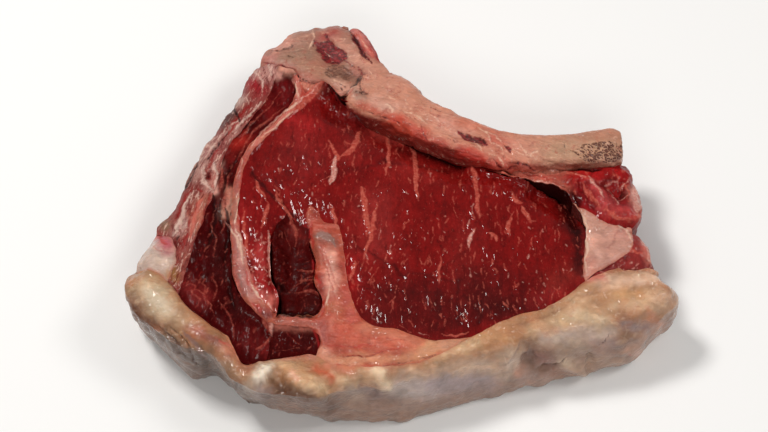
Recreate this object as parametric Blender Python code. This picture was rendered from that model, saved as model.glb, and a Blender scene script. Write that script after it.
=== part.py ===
"""A raw, bone-in beef rib steak, about 38 mm thick, lying flat on its lower cut face.

X runs along the longest side, Y across it towards the rib, and Z up through the thickness. The origin is
at the middle of the steak's box, on the surface that it lies on. Every length below is in millimetres,
and MM turns them into Blender's metres. The plan is drawn from a zero of its own, and TO_MIDDLE leads from
there to the origin.

The steak is one thick slice, so the whole plan is drawn once: one closed outline, and the seams that run
through the meat. Each field between the lines becomes a solid of its own, with the relief of its cut face
on top. The rib bone is a swept oval, bedded in the meat under it and in the chine bone.
"""

import math

import bmesh
import bpy
import numpy as np
from mathutils import Vector, noise
from mathutils.geometry import delaunay_2d_cdt
from mathutils.kdtree import KDTree

MM = 0.001

THICKNESS = 38.0
GAP = 0.3
TO_MIDDLE = (-0.43, 0.73)

# How finely the plan is drawn: the step along its lines and the points between them.
LINE_STEP = 4.2
JOIN_WITHIN = 4.0
GRID_STEP = 6.4
GRID_CLEARANCE = 3.3
SHOULDER_ROW = 3.4
SHOULDER_ROW_CLEARANCE = 2.2

# The cut faces are a little lower along every seam, and lumps of about this size make them uneven.
SEAM_GROOVE = 0.7
SEAM_GROOVE_WIDTH = 2.5
LUMP_SIZE = 19.0

# The outer walls, as shares of their height from the face down. They bulge in the middle and are tucked in
# at the foot, by these shares of the radius of the edge above.
WALL_SHARES = (0.78, 0.5, 0.22, 0.07, 0.0)
WALL_BULGE = 0.15
FOOT_SHARE = 0.25
FOOT_TUCK = 0.35

# The outline of the upper face, anticlockwise from the top of the chine bone. Each point has X, Y, how far
# the foot of the wall stands out past the face, and the radius of the rounded upper edge.
OUTLINE = (
    (-25, 104, 0, 3),
    (-40, 102.5, 0, 3),
    (-54, 100.5, 0, 3),
    (-61.5, 93.5, 0, 3),
    (-68.8, 89, 0, 3),
    (-71.5, 81.5, 0, 3),
    (-77.8, 71, 0, 4),
    (-82, 58.5, 0, 4),
    (-87, 49, 0, 4),
    (-94.2, 34, 0, 4),
    (-101.8, 17.5, 0, 4),
    (-107, 0, 0, 4),
    (-111, -8.5, 0, 4),
    (-115.8, -13, 0, 3),
    (-116.4, -20.5, 0, 4),
    (-120.6, -28, 0, 5),
    (-124.5, -36, -1, 6),
    (-125, -40, -1, 6),
    (-128.6, -45, -2, 7),
    (-127, -54, -4, 8),
    (-120.5, -64.5, -6, 8),
    (-109, -74, -4, 7),
    (-98, -81, -3, 5),
    (-89, -83.5, -5.5, 5),
    (-82.5, -88.5, -5, 4),
    (-77, -97, -8, 4),
    (-66, -102.5, -10, 4),
    (-46, -106, -8, 4),
    (-35, -105, -4.5, 4),
    (-24, -100, 2, 4),
    (-2, -96, 5.5, 5),
    (17, -90, 7, 5),
    (35, -84.5, 7, 6),
    (53, -79, 8, 7),
    (71, -76.5, 5, 9),
    (89, -74, 3, 10),
    (106, -70, 2.5, 10),
    (119, -62, -2, 10),
    (128.4, -53, 0, 9),
    (126, -47, 0, 7),
    (121, -44.5, 0, 6),
    (119.5, -40.5, 0, 4),
    (117, -33, 0, 4),
    (116.6, -26, 0, 4),
    (113.6, -20.5, 0, 4),
    (109, -16.5, -1, 3),
    (113, -11.5, -3, 4),
    (114.4, -6, -1, 5),
    (115.2, -1, 0, 5),
    (113, 9, 0, 5),
    (112, 15, 0, 4),
    (107, 24, 0, 3),
    (98, 33, 0, 3),
    (78, 31.5, 0, 3),
    (58, 33, 0, 3),
    (40, 38.5, 0, 3),
    (22, 48, 0, 3),
    (8, 59, 0, 3),
    (-2.5, 75, 0, 3),
    (-10, 85, 0, 3),
    (-18.5, 99, 0, 3),
)

# The pale strip of gristle between the side muscles: its middle line, with half its width.
SEAM_STRIP = (
    (-52.5, 72.5, 1.4), (-52, 57, 1.5), (-61, 42.5, 1.5), (-73, 28.6, 1.6), (-78.3, 13, 1.7),
    (-79.6, -4, 1.8), (-79, -19, 2.4), (-76.3, -32, 3.4), (-74.3, -45, 4), (-68.5, -57, 3.4),
    (-60, -66.5, 2.6),
)
INNER_EDGE = "the edge of the strip that faces the eye muscle"
OUTER_EDGE = "the edge of the strip that faces the rim"

# The seams of the meat on the same face, as curves through these points. An end near a line that comes
# before is drawn on to that line's nearest point, and the outline is the first of them.
SEAMS = {
    "fat_cap_inner": (
        (-124.2, -40.5), (-116.5, -41.5), (-107, -49), (-100, -59), (-88.5, -69), (-80, -75.5),
        (-76.5, -83), (-72, -89.5), (-62, -88), (-42, -84.5), (-31, -90), (-8, -91.5), (14, -86.5),
        (31, -75.5), (50, -65), (67, -59.5), (78, -52.5), (85, -46.5), (100, -40.7), (119.5, -40.5),
    ),
    "chine_lower": (
        (-70.5, 80.5), (-60, 78.5), (-53.5, 75.5), (-50.5, 69), (-45, 66), (-38, 67.5), (-30, 58),
    ),
    "chine_to_rib": ((-30, 58), (-21, 63), (-13, 67), (-3, 73)),
    "chine_groove": ((-27, 104), (-22.5, 93), (-16, 83), (-5, 77.5)),
    "rib_side": (
        (-30, 58), (-20, 52), (-3, 40.5), (15, 30), (33, 21), (51, 13.5), (69, 8.5), (78, 4.5), (82, -3),
    ),
    "flap_top": ((82, -3), (90, -9.4), (98.5, -15.2), (109, -16.5)),
    "flap_left": ((82, -3), (86.5, -15), (86.2, -28), (84.5, -40), (85, -46.5)),
    "flap_low": ((85, -46.5), (94.5, -38.8), (107, -29), (109.3, -23), (109, -16.5)),
    "eye_lower": (
        (31, -75.5), (23, -77), (9, -76.3), (-2, -71.6), (-14.5, -69.4), (-20.5, -62), (-25, -48),
        (-27.5, -32), (-30, -16.5), (-36.5, -15), (-40, -9), (-44.5, -5.5),
    ),
    "strip_inner": INNER_EDGE,
    "strip_outer": OUTER_EDGE,
    "eye_to_side": (
        (-76, 15.5), (-65.3, 5), (-59, -1), (-53.9, -9.5), (-48, -15), (-43.5, -18),
    ),
    "seam_fat_left": (
        (-44.5, -5.5), (-45.2, -12), (-43.5, -18), (-43.5, -26), (-40.5, -37), (-41, -46), (-37, -57),
        (-39, -64), (-48, -64.2), (-58, -64.8),
    ),
    "strip_end": ((-58, -64.8), (-62, -68.2)),
    "seam_fat_arm": (
        (-62, -68.2), (-52, -69.8), (-43, -71), (-37.5, -76), (-39, -85.5),
    ),
    "cliff": (
        (-58, -64.8), (-57.3, -56), (-60.5, -46.5), (-61.8, -38), (-61.8, -27), (-59, -17), (-54.5, -9),
    ),
    "lower_muscle_side": ((-62, -68.2), (-60.5, -78), (-62, -88)),
    "rim_inner": (
        (-62, 78.5), (-65.5, 63), (-75, 45), (-85, 27.5), (-89.3, 8), (-94.4, -12), (-99, -31),
        (-102, -46), (-103.5, -54),
    ),
    "tendon_inner": (
        (-115.8, -20), (-108, -24), (-105.3, -36), (-109, -47.5),
    ),
}

# Each piece between the seams: a spot inside it, how far its cut face stands over the steak's thickness,
# and how uneven that face is.
PIECES = {
    "fat_cap": ((60, -68), 1.5, 0.7),
    "eye_muscle": ((20, -30), -0.8, 0.35),
    "seam_fat": ((-32, -45), 0.8, 0.4),
    "seam_strip": ((-76.3, -32), 1.6, 0.2),
    "side_muscle": ((-68, -10), 0.6, 0.5),
    "inner_muscle": ((-50, -40), -4.5, 0.5),
    "lower_muscle": ((-48, -77), -1.4, 0.4),
    "outer_muscle": ((-87, -20), -1.4, 0.5),
    "side_rim": ((-100, -5), -0.2, 0.8),
    "backstrap_tendon": ((-113, -35), 1.0, 0.3),
    "chine_bone": ((-45, 85), 2.2, 0.4),
    "chine_meat": ((-18, 90), 1.8, 0.6),
    "intercostal_meat": ((100, 0), -1.0, 0.8),
    "fascia_flap": ((95, -25), -0.4, 0.3),
    "tail_meat": ((108, -34), -2.2, 0.6),
}

ON_LINE = 0.01
SHARPEST_BEND = 0.4
FLAT_ANGLE = math.radians(0.4)
SMOOTH_UP_TO = math.radians(50)
MERGE_WITHIN = 0.00001

# Relief of the cut faces: the piece, the line it follows, its half width and its height.
RELIEF = (
    ("eye_muscle", ((-30, 58), (-3, 40.5), (33, 21), (69, 8.5), (80, 0)), 10.0, -10.5),
    ("eye_muscle", ((-46, 30), (-40, 5), (-34, -12)), 12.0, 1.0),
    ("eye_muscle", ((12, -62), (30, -66)), 9.0, -1.2),
    ("eye_muscle", ((86, -12), (85, -42)), 6.0, -2.5),
    ("side_muscle", ((-60, -30), (-58, -50), (-59, -62)), 5.0, 1.6),
    ("side_muscle", ((-70, -18), (-68, -48)), 2.5, 1.0),
    ("inner_muscle", ((-58, -14), (-48, -17)), 9.0, 4.0),
    ("inner_muscle", ((-58, -50), (-57, -60)), 6.0, -3.0),
    ("lower_muscle", ((-55, -78), (-43, -79)), 6.0, -1.2),
    ("outer_muscle", ((-84, -12), (-79, -60)), 5.0, -2.4),
    ("outer_muscle", ((-57, 66), (-60, 50), (-74, 35)), 5.0, -2.6),
    ("outer_muscle", ((-98, -52), (-84, -66)), 5.0, 1.4),
    ("side_rim", ((-72, 66), (-84, 42), (-97, 14), (-104, -8)), 3.5, 1.8),
    ("side_rim", ((-68, 70), (-69, 60), (-76, 48)), 3.0, -2.2),
    ("side_rim", ((-91, 24), (-95, 4), (-101, -20), (-104, -42)), 3.0, -1.6),
    ("backstrap_tendon", ((-114, -31), (-116, -37)), 6.0, 1.2),
    ("seam_fat", ((-36, -20), (-35, -30)), 4.5, 1.0),
    ("seam_fat", ((-28, -80), (0, -80), (20, -80)), 1.6, -0.8),
    ("seam_fat", ((-30, -86), (-8, -87)), 1.6, -0.8),
    ("fat_cap", ((-118, -50), (-104, -62), (-86, -77), (-70, -95)), 8.0, 1.2),
    ("fat_cap", ((-62, -98), (-46, -100)), 6.0, 1.8),
    ("fat_cap", ((-32, -97), (-24, -95)), 3.5, -1.6),
    ("fat_cap", ((40, -80), (70, -70), (110, -60)), 11.0, -2.4),
    ("fat_cap", ((96, -54), (118, -54)), 9.0, 1.2),
    ("fat_cap", ((50, -69.5), (74, -60), (84, -52)), 2.0, -0.9),
    ("chine_bone", ((-60, 90), (-66, 84)), 9.0, -2.6),
    ("chine_bone", ((-40, 88), (-29, 81)), 6.0, -2.4),
    ("chine_bone", ((-38, 73), (-22, 72)), 5.0, -1.6),
    ("chine_bone", ((-34, 98), (-24, 86)), 4.5, 1.6),
    ("chine_bone", ((-21, 66), (-20, 63)), 3.0, -3.5),
    ("chine_meat", ((-22, 97), (-13, 82)), 2.5, 1.2),
    ("intercostal_meat", ((10, 50), (30, 38), (60, 26), (106, 26)), 12.0, -4.0),
    ("intercostal_meat", ((92, 0), (106, -8)), 8.0, 2.6),
    ("intercostal_meat", ((84, 10), (104, 12)), 4.0, 1.8),
    ("intercostal_meat", ((90, 5), (104, 3)), 2.6, -2.2),
    ("fascia_flap", ((85, -8), (88, -20), (86, -42)), 2.5, 1.4),
    ("fascia_flap", ((94, -22), (104, -24)), 9.0, -1.6),
    ("tail_meat", ((96, -41), (110, -36)), 4.0, -1.4),
)

# The rib bone: X and Y of its middle line, with half its width. Its section is a squarish oval, wider than
# it is high, and its bed in the pieces round it is a little wider.
RIB_LINE = (
    (-21, 66, 5.5), (-15, 62, 9), (-6, 57, 11.4), (6, 48.6, 12), (20, 39.2, 11.4), (34, 32, 11),
    (48, 27.2, 10.4), (62, 25.6, 9.5), (76, 25.8, 9), (90, 27.2, 9.4), (98, 28.2, 10), (104, 29, 9.6),
    (106.6, 29.4, 8),
)
RIB_HEIGHT = 36.0
RIB_FLATTENING = 0.8
RIB_SQUARENESS = 2.6
RIB_STEP = 6.0
RIB_SIDES = 18
RIB_BED_GAP = 0.4
BEDDED = ("intercostal_meat", "chine_bone", "chine_meat")

# Colour, roughness and metallic value of each piece's material.
MATERIALS = {
    "fat_cap": ((0.60, 0.43, 0.29), 0.42, 0.0),
    "eye_muscle": ((0.19, 0.012, 0.012), 0.32, 0.0),
    "seam_fat": ((0.55, 0.23, 0.17), 0.4, 0.0),
    "seam_strip": ((0.50, 0.25, 0.20), 0.35, 0.0),
    "side_muscle": ((0.24, 0.02, 0.018), 0.3, 0.0),
    "inner_muscle": ((0.09, 0.008, 0.008), 0.3, 0.0),
    "lower_muscle": ((0.15, 0.010, 0.011), 0.3, 0.0),
    "outer_muscle": ((0.12, 0.010, 0.010), 0.34, 0.0),
    "side_rim": ((0.42, 0.19, 0.16), 0.45, 0.0),
    "backstrap_tendon": ((0.72, 0.62, 0.56), 0.4, 0.0),
    "chine_bone": ((0.46, 0.28, 0.22), 0.6, 0.0),
    "chine_meat": ((0.42, 0.08, 0.07), 0.4, 0.0),
    "rib_bone": ((0.52, 0.31, 0.24), 0.5, 0.0),
    "intercostal_meat": ((0.34, 0.035, 0.032), 0.32, 0.0),
    "fascia_flap": ((0.62, 0.38, 0.31), 0.38, 0.0),
    "tail_meat": ((0.24, 0.022, 0.022), 0.4, 0.0),
}


def clear_scene():
    """Remove every object that the file opened with."""
    for old in list(bpy.data.objects):
        bpy.data.objects.remove(old, do_unlink=True)


def new_collection(name):
    """A new collection in the scene."""
    collection = bpy.data.collections.new(name)
    bpy.context.scene.collection.children.link(collection)
    return collection


def smooth_curve(points, step, closed=False):
    """Points about a step apart on a smooth curve through the given ones, which may have extra values."""
    knots = np.array(points, dtype=float)
    if closed:
        knots = np.vstack([knots[-1:], knots, knots[:2]])
    else:
        knots = np.vstack([2 * knots[0] - knots[1], knots, 2 * knots[-1] - knots[-2]])
    lengths = np.linalg.norm(np.diff(knots[:, :2], axis=0), axis=1)
    times = np.concatenate([[0.0], np.cumsum(lengths)])
    slopes = (knots[2:] - knots[:-2]) / (times[2:] - times[:-2])[:, None]
    curve = []
    for i in range(1, len(knots) - 2):
        start, end = knots[i], knots[i + 1]
        leave, arrive = slopes[i - 1] * lengths[i], slopes[i] * lengths[i]
        count = max(1, round(lengths[i] / step))
        for u in np.arange(count) / count:
            curve.append(
                (2 * u**3 - 3 * u**2 + 1) * start
                + (u**3 - 2 * u**2 + u) * leave
                + (3 * u**2 - 2 * u**3) * end
                + (u**3 - u**2) * arrive
            )
    if not closed:
        curve.append(knots[-2])
    return np.array(curve)


def side_of(line, side):
    """One edge of a strip: its middle line moved sideways by half the width, to the left for side 1."""
    middle = smooth_curve(line, LINE_STEP)
    along = np.gradient(middle[:, :2], axis=0)
    along /= np.linalg.norm(along, axis=1)[:, None]
    across = np.stack([-along[:, 1], along[:, 0]], axis=1)
    return middle[:, :2] + side * across * middle[:, 2:3]


def joined_to(point, points):
    """The nearest of some points, or the point itself where none of them is near."""
    gaps = np.linalg.norm(points - point, axis=1)
    return points[np.argmin(gaps)] if gaps.min() < JOIN_WITHIN else point


def draw_plan():
    """The outline with its extra values, and every seam as a line that ends on the lines before it."""
    outline = smooth_curve(OUTLINE, LINE_STEP, closed=True)
    drawn = outline[:, :2]
    seams = []
    for name, points in SEAMS.items():
        if points is INNER_EDGE:
            seam = side_of(SEAM_STRIP, 1)
        elif points is OUTER_EDGE:
            seam = side_of(SEAM_STRIP, -1)
        else:
            seam = smooth_curve(points, LINE_STEP)
        seam[0] = joined_to(seam[0], drawn)
        seam[-1] = joined_to(seam[-1], drawn)
        seams.append(seam)
        drawn = np.vstack([drawn, seam])
    return outline, seams


def outward_normals(outline):
    """The unit normals of the outline, pointing away from the meat."""
    along = np.roll(outline[:, :2], -1, axis=0) - np.roll(outline[:, :2], 1, axis=0)
    along /= np.linalg.norm(along, axis=1)[:, None]
    return np.stack([along[:, 1], -along[:, 0]], axis=1)


def spread_points(outline, normals, drawn):
    """Points inside the plan: a row along the rounded edge, then an even triangular grid."""
    row = outline[:, :2] - normals * SHOULDER_ROW
    row = [p for p in row if np.linalg.norm(drawn - p, axis=1).min() > SHOULDER_ROW_CLEARANCE]
    taken = np.vstack([drawn, row])
    low = drawn.min(axis=0)
    high = drawn.max(axis=0)
    grid = []
    row_height = GRID_STEP * math.sqrt(3) / 2
    for j in range(int((high[1] - low[1]) / row_height) + 1):
        shift = GRID_STEP / 2 * (j % 2)
        for i in range(int((high[0] - low[0]) / GRID_STEP) + 1):
            spot = low + (i * GRID_STEP + shift, j * row_height)
            if np.linalg.norm(taken - spot, axis=1).min() > GRID_CLEARANCE:
                grid.append(spot)
    return np.vstack([row, grid])


def divide_plan(outline, seams):
    """The plan as triangles, with the set of its edges that lie on a drawn line."""
    points, edges, number = [], [], {}

    def index_of(point):
        key = (round(point[0], 4), round(point[1], 4))
        if key not in number:
            number[key] = len(points)
            points.append(Vector(key))
        return number[key]

    loop = [index_of(p) for p in outline]
    edges += list(zip(loop, loop[1:] + loop[:1]))
    for seam in seams:
        line = [index_of(p) for p in seam]
        edges += list(zip(line, line[1:]))
    drawn = np.array(points)
    for spot in spread_points(outline, outward_normals(outline), drawn):
        index_of(spot)
    found = delaunay_2d_cdt(points, edges, [], 1, 1e-5, True)
    spots, all_edges, triangles, _, edge_sources, _ = found
    lines = {tuple(sorted(edge)) for edge, source in zip(all_edges, edge_sources) if source}
    return np.array(spots), triangles, lines


def fields_of(triangles, lines):
    """The triangles grouped into the fields that the drawn lines close off."""
    sharing = {}
    for t, corners in enumerate(triangles):
        for a, b in zip(corners, corners[1:] + corners[:1]):
            sharing.setdefault(tuple(sorted((a, b))), []).append(t)
    field = [-1] * len(triangles)
    count = 0
    for first in range(len(triangles)):
        if field[first] >= 0:
            continue
        field[first] = count
        waiting = [first]
        while waiting:
            corners = triangles[waiting.pop()]
            for a, b in zip(corners, corners[1:] + corners[:1]):
                edge = tuple(sorted((a, b)))
                if edge in lines:
                    continue
                for other in sharing[edge]:
                    if field[other] < 0:
                        field[other] = count
                        waiting.append(other)
        count += 1
    return field


def holds(corners, spot):
    """Whether a triangle holds a spot."""
    turns = [
        (b[0] - a[0]) * (spot[1] - a[1]) - (b[1] - a[1]) * (spot[0] - a[0])
        for a, b in zip(corners, np.roll(corners, -1, axis=0))
    ]
    return min(turns) >= 0 or max(turns) <= 0


def distance_to(spots, line):
    """How far each spot is from a line of points."""
    nearest = np.full(len(spots), np.inf)
    for a, b in zip(line[:-1], line[1:]):
        along = b - a
        share = np.clip((spots - a) @ along / (along @ along), 0, 1)
        gaps = spots - (a + share[:, None] * along)
        nearest = np.minimum(nearest, np.linalg.norm(gaps, axis=1))
    return nearest


def nearest_rim(spots, outline):
    """For each spot, the number of the nearest point of the outline, and the distance to it."""
    tree = KDTree(len(outline))
    for i, point in enumerate(outline):
        tree.insert((point[0], point[1], 0), i)
    tree.balance()
    found = [tree.find((x, y, 0)) for x, y in spots]
    return np.array([f[1] for f in found]), np.array([f[2] for f in found])


def face_heights(name, spots, outline, seams):
    """The height of a piece's cut face at each spot."""
    _, rise, unevenness = PIECES[name]
    heights = np.full(len(spots), THICKNESS + rise)
    heights += unevenness * np.array([noise.noise((x / LUMP_SIZE, y / LUMP_SIZE, rise)) for x, y in spots])
    for piece, points, width, height in RELIEF:
        if piece == name:
            gap = distance_to(spots, smooth_curve(points, LINE_STEP))
            heights += height * np.exp(-((gap / width) ** 2))
    to_seams = np.min([distance_to(spots, seam) for seam in seams], axis=0)
    heights -= SEAM_GROOVE * np.clip(1 - to_seams / SEAM_GROOVE_WIDTH, 0, 1)
    rim, _ = nearest_rim(spots, outline)
    radius = outline[rim, 3]
    to_rim = distance_to(spots, np.vstack([outline, outline[:1]])[:, :2])
    inside = np.clip(radius - to_rim, 0, None)
    heights -= radius - np.sqrt(radius**2 - inside**2)
    return heights


def wall_shift(share, lean, roundness):
    """How far out a wall stands, at a share of its height, from the edge of the face above it."""
    bulge = WALL_BULGE * roundness * math.sin(math.pi * share)
    tuck = FOOT_TUCK * roundness * max(0.0, 1 - share / FOOT_SHARE) ** 2
    return lean * (1 - share) + bulge - tuck


def border_of(triangles):
    """The corners round a field, anticlockwise."""
    sides = {side for t in triangles for side in zip(t, t[1:] + t[:1])}
    following = {a: b for a, b in sides if (b, a) not in sides}
    border = [min(following)]
    while following[border[-1]] != border[0]:
        border.append(following[border[-1]])
    return border


def drawn_in(ring):
    """How far to move each point of an anticlockwise ring for half a gap to its neighbours."""
    before = ring - np.roll(ring, 1, axis=0)
    before /= np.linalg.norm(before, axis=1)[:, None]
    before = np.stack([-before[:, 1], before[:, 0]], axis=1)
    after = np.roll(before, -1, axis=0)
    bend = np.clip(1 + np.sum(before * after, axis=1), SHARPEST_BEND, 2)
    return GAP / 2 * (before + after) / bend[:, None]


def cut_piece(name, spots, triangles, outline, seams):
    """A piece of the slice as a mesh: its cut face, its walls and its flat foot."""
    heights = face_heights(name, spots, outline, seams)
    border = border_of(triangles)
    spots = spots.copy()
    rim, rim_gap = nearest_rim(spots[border], outline)
    spots[border] += drawn_in(spots[border])
    outward = outward_normals(outline)[rim] * (rim_gap < ON_LINE)[:, None]
    mesh = bmesh.new()
    corners = {}
    for triangle in triangles:
        for c in triangle:
            if c not in corners:
                corners[c] = mesh.verts.new((*spots[c], heights[c]))
        mesh.faces.new([corners[c] for c in triangle])
    upper = [corners[c] for c in border]
    for share in WALL_SHARES:
        lower = []
        for c, out, r in zip(border, outward, rim):
            x, y = spots[c] + out * wall_shift(share, outline[r, 2], outline[r, 3])
            lower.append(mesh.verts.new((x, y, heights[c] * share)))
        for i in range(len(border)):
            mesh.faces.new((upper[i], upper[i - 1], lower[i - 1], lower[i]))
        upper = lower
    mesh.faces.new(upper)
    bmesh.ops.recalc_face_normals(mesh, faces=mesh.faces[:])
    bmesh.ops.dissolve_limit(mesh, angle_limit=FLAT_ANGLE, verts=mesh.verts[:], edges=mesh.edges[:])
    bmesh.ops.triangulate(mesh, faces=mesh.faces[:])
    bmesh.ops.scale(mesh, vec=(MM, MM, MM), verts=mesh.verts[:])
    return mesh


def object_from(mesh, name, collection):
    """A mesh object made from a bmesh, shaded smooth apart from its sharp edges."""
    data = bpy.data.meshes.new(name)
    mesh.to_mesh(data)
    mesh.free()
    thing = bpy.data.objects.new(name, data)
    collection.objects.link(thing)
    data.shade_smooth()
    data.set_sharp_from_angle(angle=SMOOTH_UP_TO)
    return thing


def as_cutter(thing):
    """Mark a guide or a cutter, which isn't part of the steak."""
    thing.hide_render = True
    thing.display_type = "WIRE"


def rib_section(name, collection):
    """The oval section of the rib, one millimetre in half width, that its middle line carries along."""
    data = bpy.data.curves.new(name, "CURVE")
    data.dimensions = "2D"
    oval = data.splines.new("POLY")
    oval.points.add(RIB_SIDES - 1)
    for i, point in enumerate(oval.points):
        turn = 2 * math.pi * i / RIB_SIDES
        wide, high = math.cos(turn), math.sin(turn)
        swell = (abs(wide) ** RIB_SQUARENESS + abs(high) ** RIB_SQUARENESS) ** (-1 / RIB_SQUARENESS)
        point.co = (wide * swell * MM, high * swell * RIB_FLATTENING * MM, 0, 1)
    oval.use_cyclic_u = True
    section = bpy.data.objects.new(name, data)
    collection.objects.link(section)
    as_cutter(section)
    return section


def swept_rib(name, section, extra, collection):
    """The rib along its middle line, thicker all round by the extra, as a mesh with closed ends."""
    data = bpy.data.curves.new(name, "CURVE")
    data.dimensions = "3D"
    data.twist_mode = "Z_UP"
    data.bevel_mode = "OBJECT"
    data.bevel_object = section
    data.use_fill_caps = True
    line = data.splines.new("POLY")
    middle = smooth_curve(RIB_LINE, RIB_STEP)
    line.points.add(len(middle) - 1)
    for point, (x, y, half_width) in zip(line.points, middle):
        point.co = (x * MM, y * MM, RIB_HEIGHT * MM, 1)
        point.radius = half_width + extra
    guide = bpy.data.objects.new(name + "_guide", data)
    collection.objects.link(guide)
    bpy.context.view_layer.update()
    swept = bpy.data.meshes.new_from_object(guide.evaluated_get(bpy.context.evaluated_depsgraph_get()))
    bpy.data.objects.remove(guide, do_unlink=True)
    mesh = bmesh.new()
    mesh.from_mesh(swept)
    bpy.data.meshes.remove(swept)
    bmesh.ops.remove_doubles(mesh, verts=mesh.verts[:], dist=MERGE_WITHIN)
    bmesh.ops.recalc_face_normals(mesh, faces=mesh.faces[:])
    return object_from(mesh, name, collection)


def bed_of(thing, cutter):
    """Cut the bed of the rib out of a piece."""
    cut = thing.modifiers.new("rib bed", "BOOLEAN")
    cut.operation = "DIFFERENCE"
    cut.object = cutter


def give_material(thing):
    """The material of a piece, named like it."""
    colour, roughness, metallic = MATERIALS[thing.name]
    material = bpy.data.materials.new(thing.name)
    material.use_nodes = True
    shader = material.node_tree.nodes["Principled BSDF"]
    shader.inputs["Base Color"].default_value = (*colour, 1)
    shader.inputs["Roughness"].default_value = roughness
    shader.inputs["Metallic"].default_value = metallic
    thing.data.materials.append(material)


def build_steak():
    """Build every piece of the steak."""
    clear_scene()
    steak = new_collection("beef_rib_steak")
    cutters = new_collection("cutters")
    outline, seams = draw_plan()
    spots, triangles, lines = divide_plan(outline, seams)
    field = fields_of(triangles, lines)
    pieces = {}
    for name, (spot, _, _) in PIECES.items():
        inside = next(f for f, corners in zip(field, triangles) if holds(spots[corners], spot))
        own = [corners for f, corners in zip(field, triangles) if f == inside]
        pieces[name] = object_from(cut_piece(name, spots, own, outline, seams), name, steak)
    section = rib_section("rib_section", cutters)
    pieces["rib_bone"] = swept_rib("rib_bone", section, 0, steak)
    bed = swept_rib("rib_bed", section, RIB_BED_GAP, cutters)
    as_cutter(bed)
    for name in BEDDED:
        bed_of(pieces[name], bed)
    for piece in pieces.values():
        give_material(piece)
    plan_zero = bpy.data.objects.new("plan_zero", None)
    steak.objects.link(plan_zero)
    plan_zero.location = (TO_MIDDLE[0] * MM, TO_MIDDLE[1] * MM, 0)
    for thing in (*pieces.values(), bed):
        thing.parent = plan_zero


build_steak()
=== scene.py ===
"""The looks of a raw, bone-in beef rib steak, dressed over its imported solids.

All lengths are in millimetres until a mesh is made, and MM turns them into metres. The plan is drawn from a
zero of its own, as in the part's source, and TO_MIDDLE leads from there to the origin of the frame.

The steak is one thick slice, so its upper face is drawn once, as a fine net of triangles between the outline
and the seams. Each field of the net becomes a piece: its face, its walls and its foot. The height of the
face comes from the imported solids. Marks, patches and humps are named by where they show on the cut face from
the camera's place, on a level SHEET_LEVEL high, and are laid on whatever lies behind that spot.
"""

import itertools
import math

import bpy
import numpy as np
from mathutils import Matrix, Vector
from mathutils.bvhtree import BVHTree
from mathutils.geometry import delaunay_2d_cdt
from mathutils.kdtree import KDTree


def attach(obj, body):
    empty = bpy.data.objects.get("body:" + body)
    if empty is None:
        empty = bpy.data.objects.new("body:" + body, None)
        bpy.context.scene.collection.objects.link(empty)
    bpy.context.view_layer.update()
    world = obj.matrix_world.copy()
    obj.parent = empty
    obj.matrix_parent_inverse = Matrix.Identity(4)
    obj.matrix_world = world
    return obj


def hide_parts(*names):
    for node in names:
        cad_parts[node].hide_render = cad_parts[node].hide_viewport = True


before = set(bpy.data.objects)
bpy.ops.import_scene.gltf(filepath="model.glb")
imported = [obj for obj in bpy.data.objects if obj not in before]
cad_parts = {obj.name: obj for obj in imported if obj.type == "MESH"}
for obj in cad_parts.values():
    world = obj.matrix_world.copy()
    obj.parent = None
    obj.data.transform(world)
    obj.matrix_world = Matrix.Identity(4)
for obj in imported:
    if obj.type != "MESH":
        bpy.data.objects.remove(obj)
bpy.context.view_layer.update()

MM = 0.001
TO_MIDDLE = np.array((-0.43, 0.73))

# The net of triangles: the step between its points, the height of a row, how far the points stray from an
# even grid, and how near they come to a drawn line. A seam's ends move to a line that is within JOIN_WITHIN.
NET_STEP = 0.6
ROW_STEP = math.sqrt(0.75)
NET_STRAY = 0.12
NET_SEED = 7
NET_CLEARANCE = 0.36
SAME_SPOT = 1e-6
JOIN_WITHIN = 4.0
NORMAL_REACH = 3

# Noise: large odd numbers that mix a cell's place and a seed into a steady pseudo-random number.
HASH_AXES = (374761393, 3266489917, 2246822519)
HASH_SEED, HASH_START = 668265263, 12345
HASH_MIX = np.uint32(2654435761)
HASH_SHIFT = np.uint32(15)
HASH_MASK = 0xFFFFFFFF
LAYER_SEED_STEP = 31
LINE_SEED, MARK_SEED, PATCH_SEED, RELIEF_SEED = 1, 40, 60, 80

# The camera stands where the photograph was taken: its height over the horizon, its distance from what it
# looks at, and its lens and sensor.
VIEW_ELEVATION = math.radians(58)
VIEW_DISTANCE = 800.0
VIEW_TARGET = np.array((-8.5, 0.0, 20.0))
VIEW_LENS = 76.9
SENSOR_WIDTH = 36.0
SHEET_LEVEL = 38.0
TO_CAMERA = np.array((0.0, -math.cos(VIEW_ELEVATION), math.sin(VIEW_ELEVATION)))
EYE = VIEW_TARGET + VIEW_DISTANCE * TO_CAMERA

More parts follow.
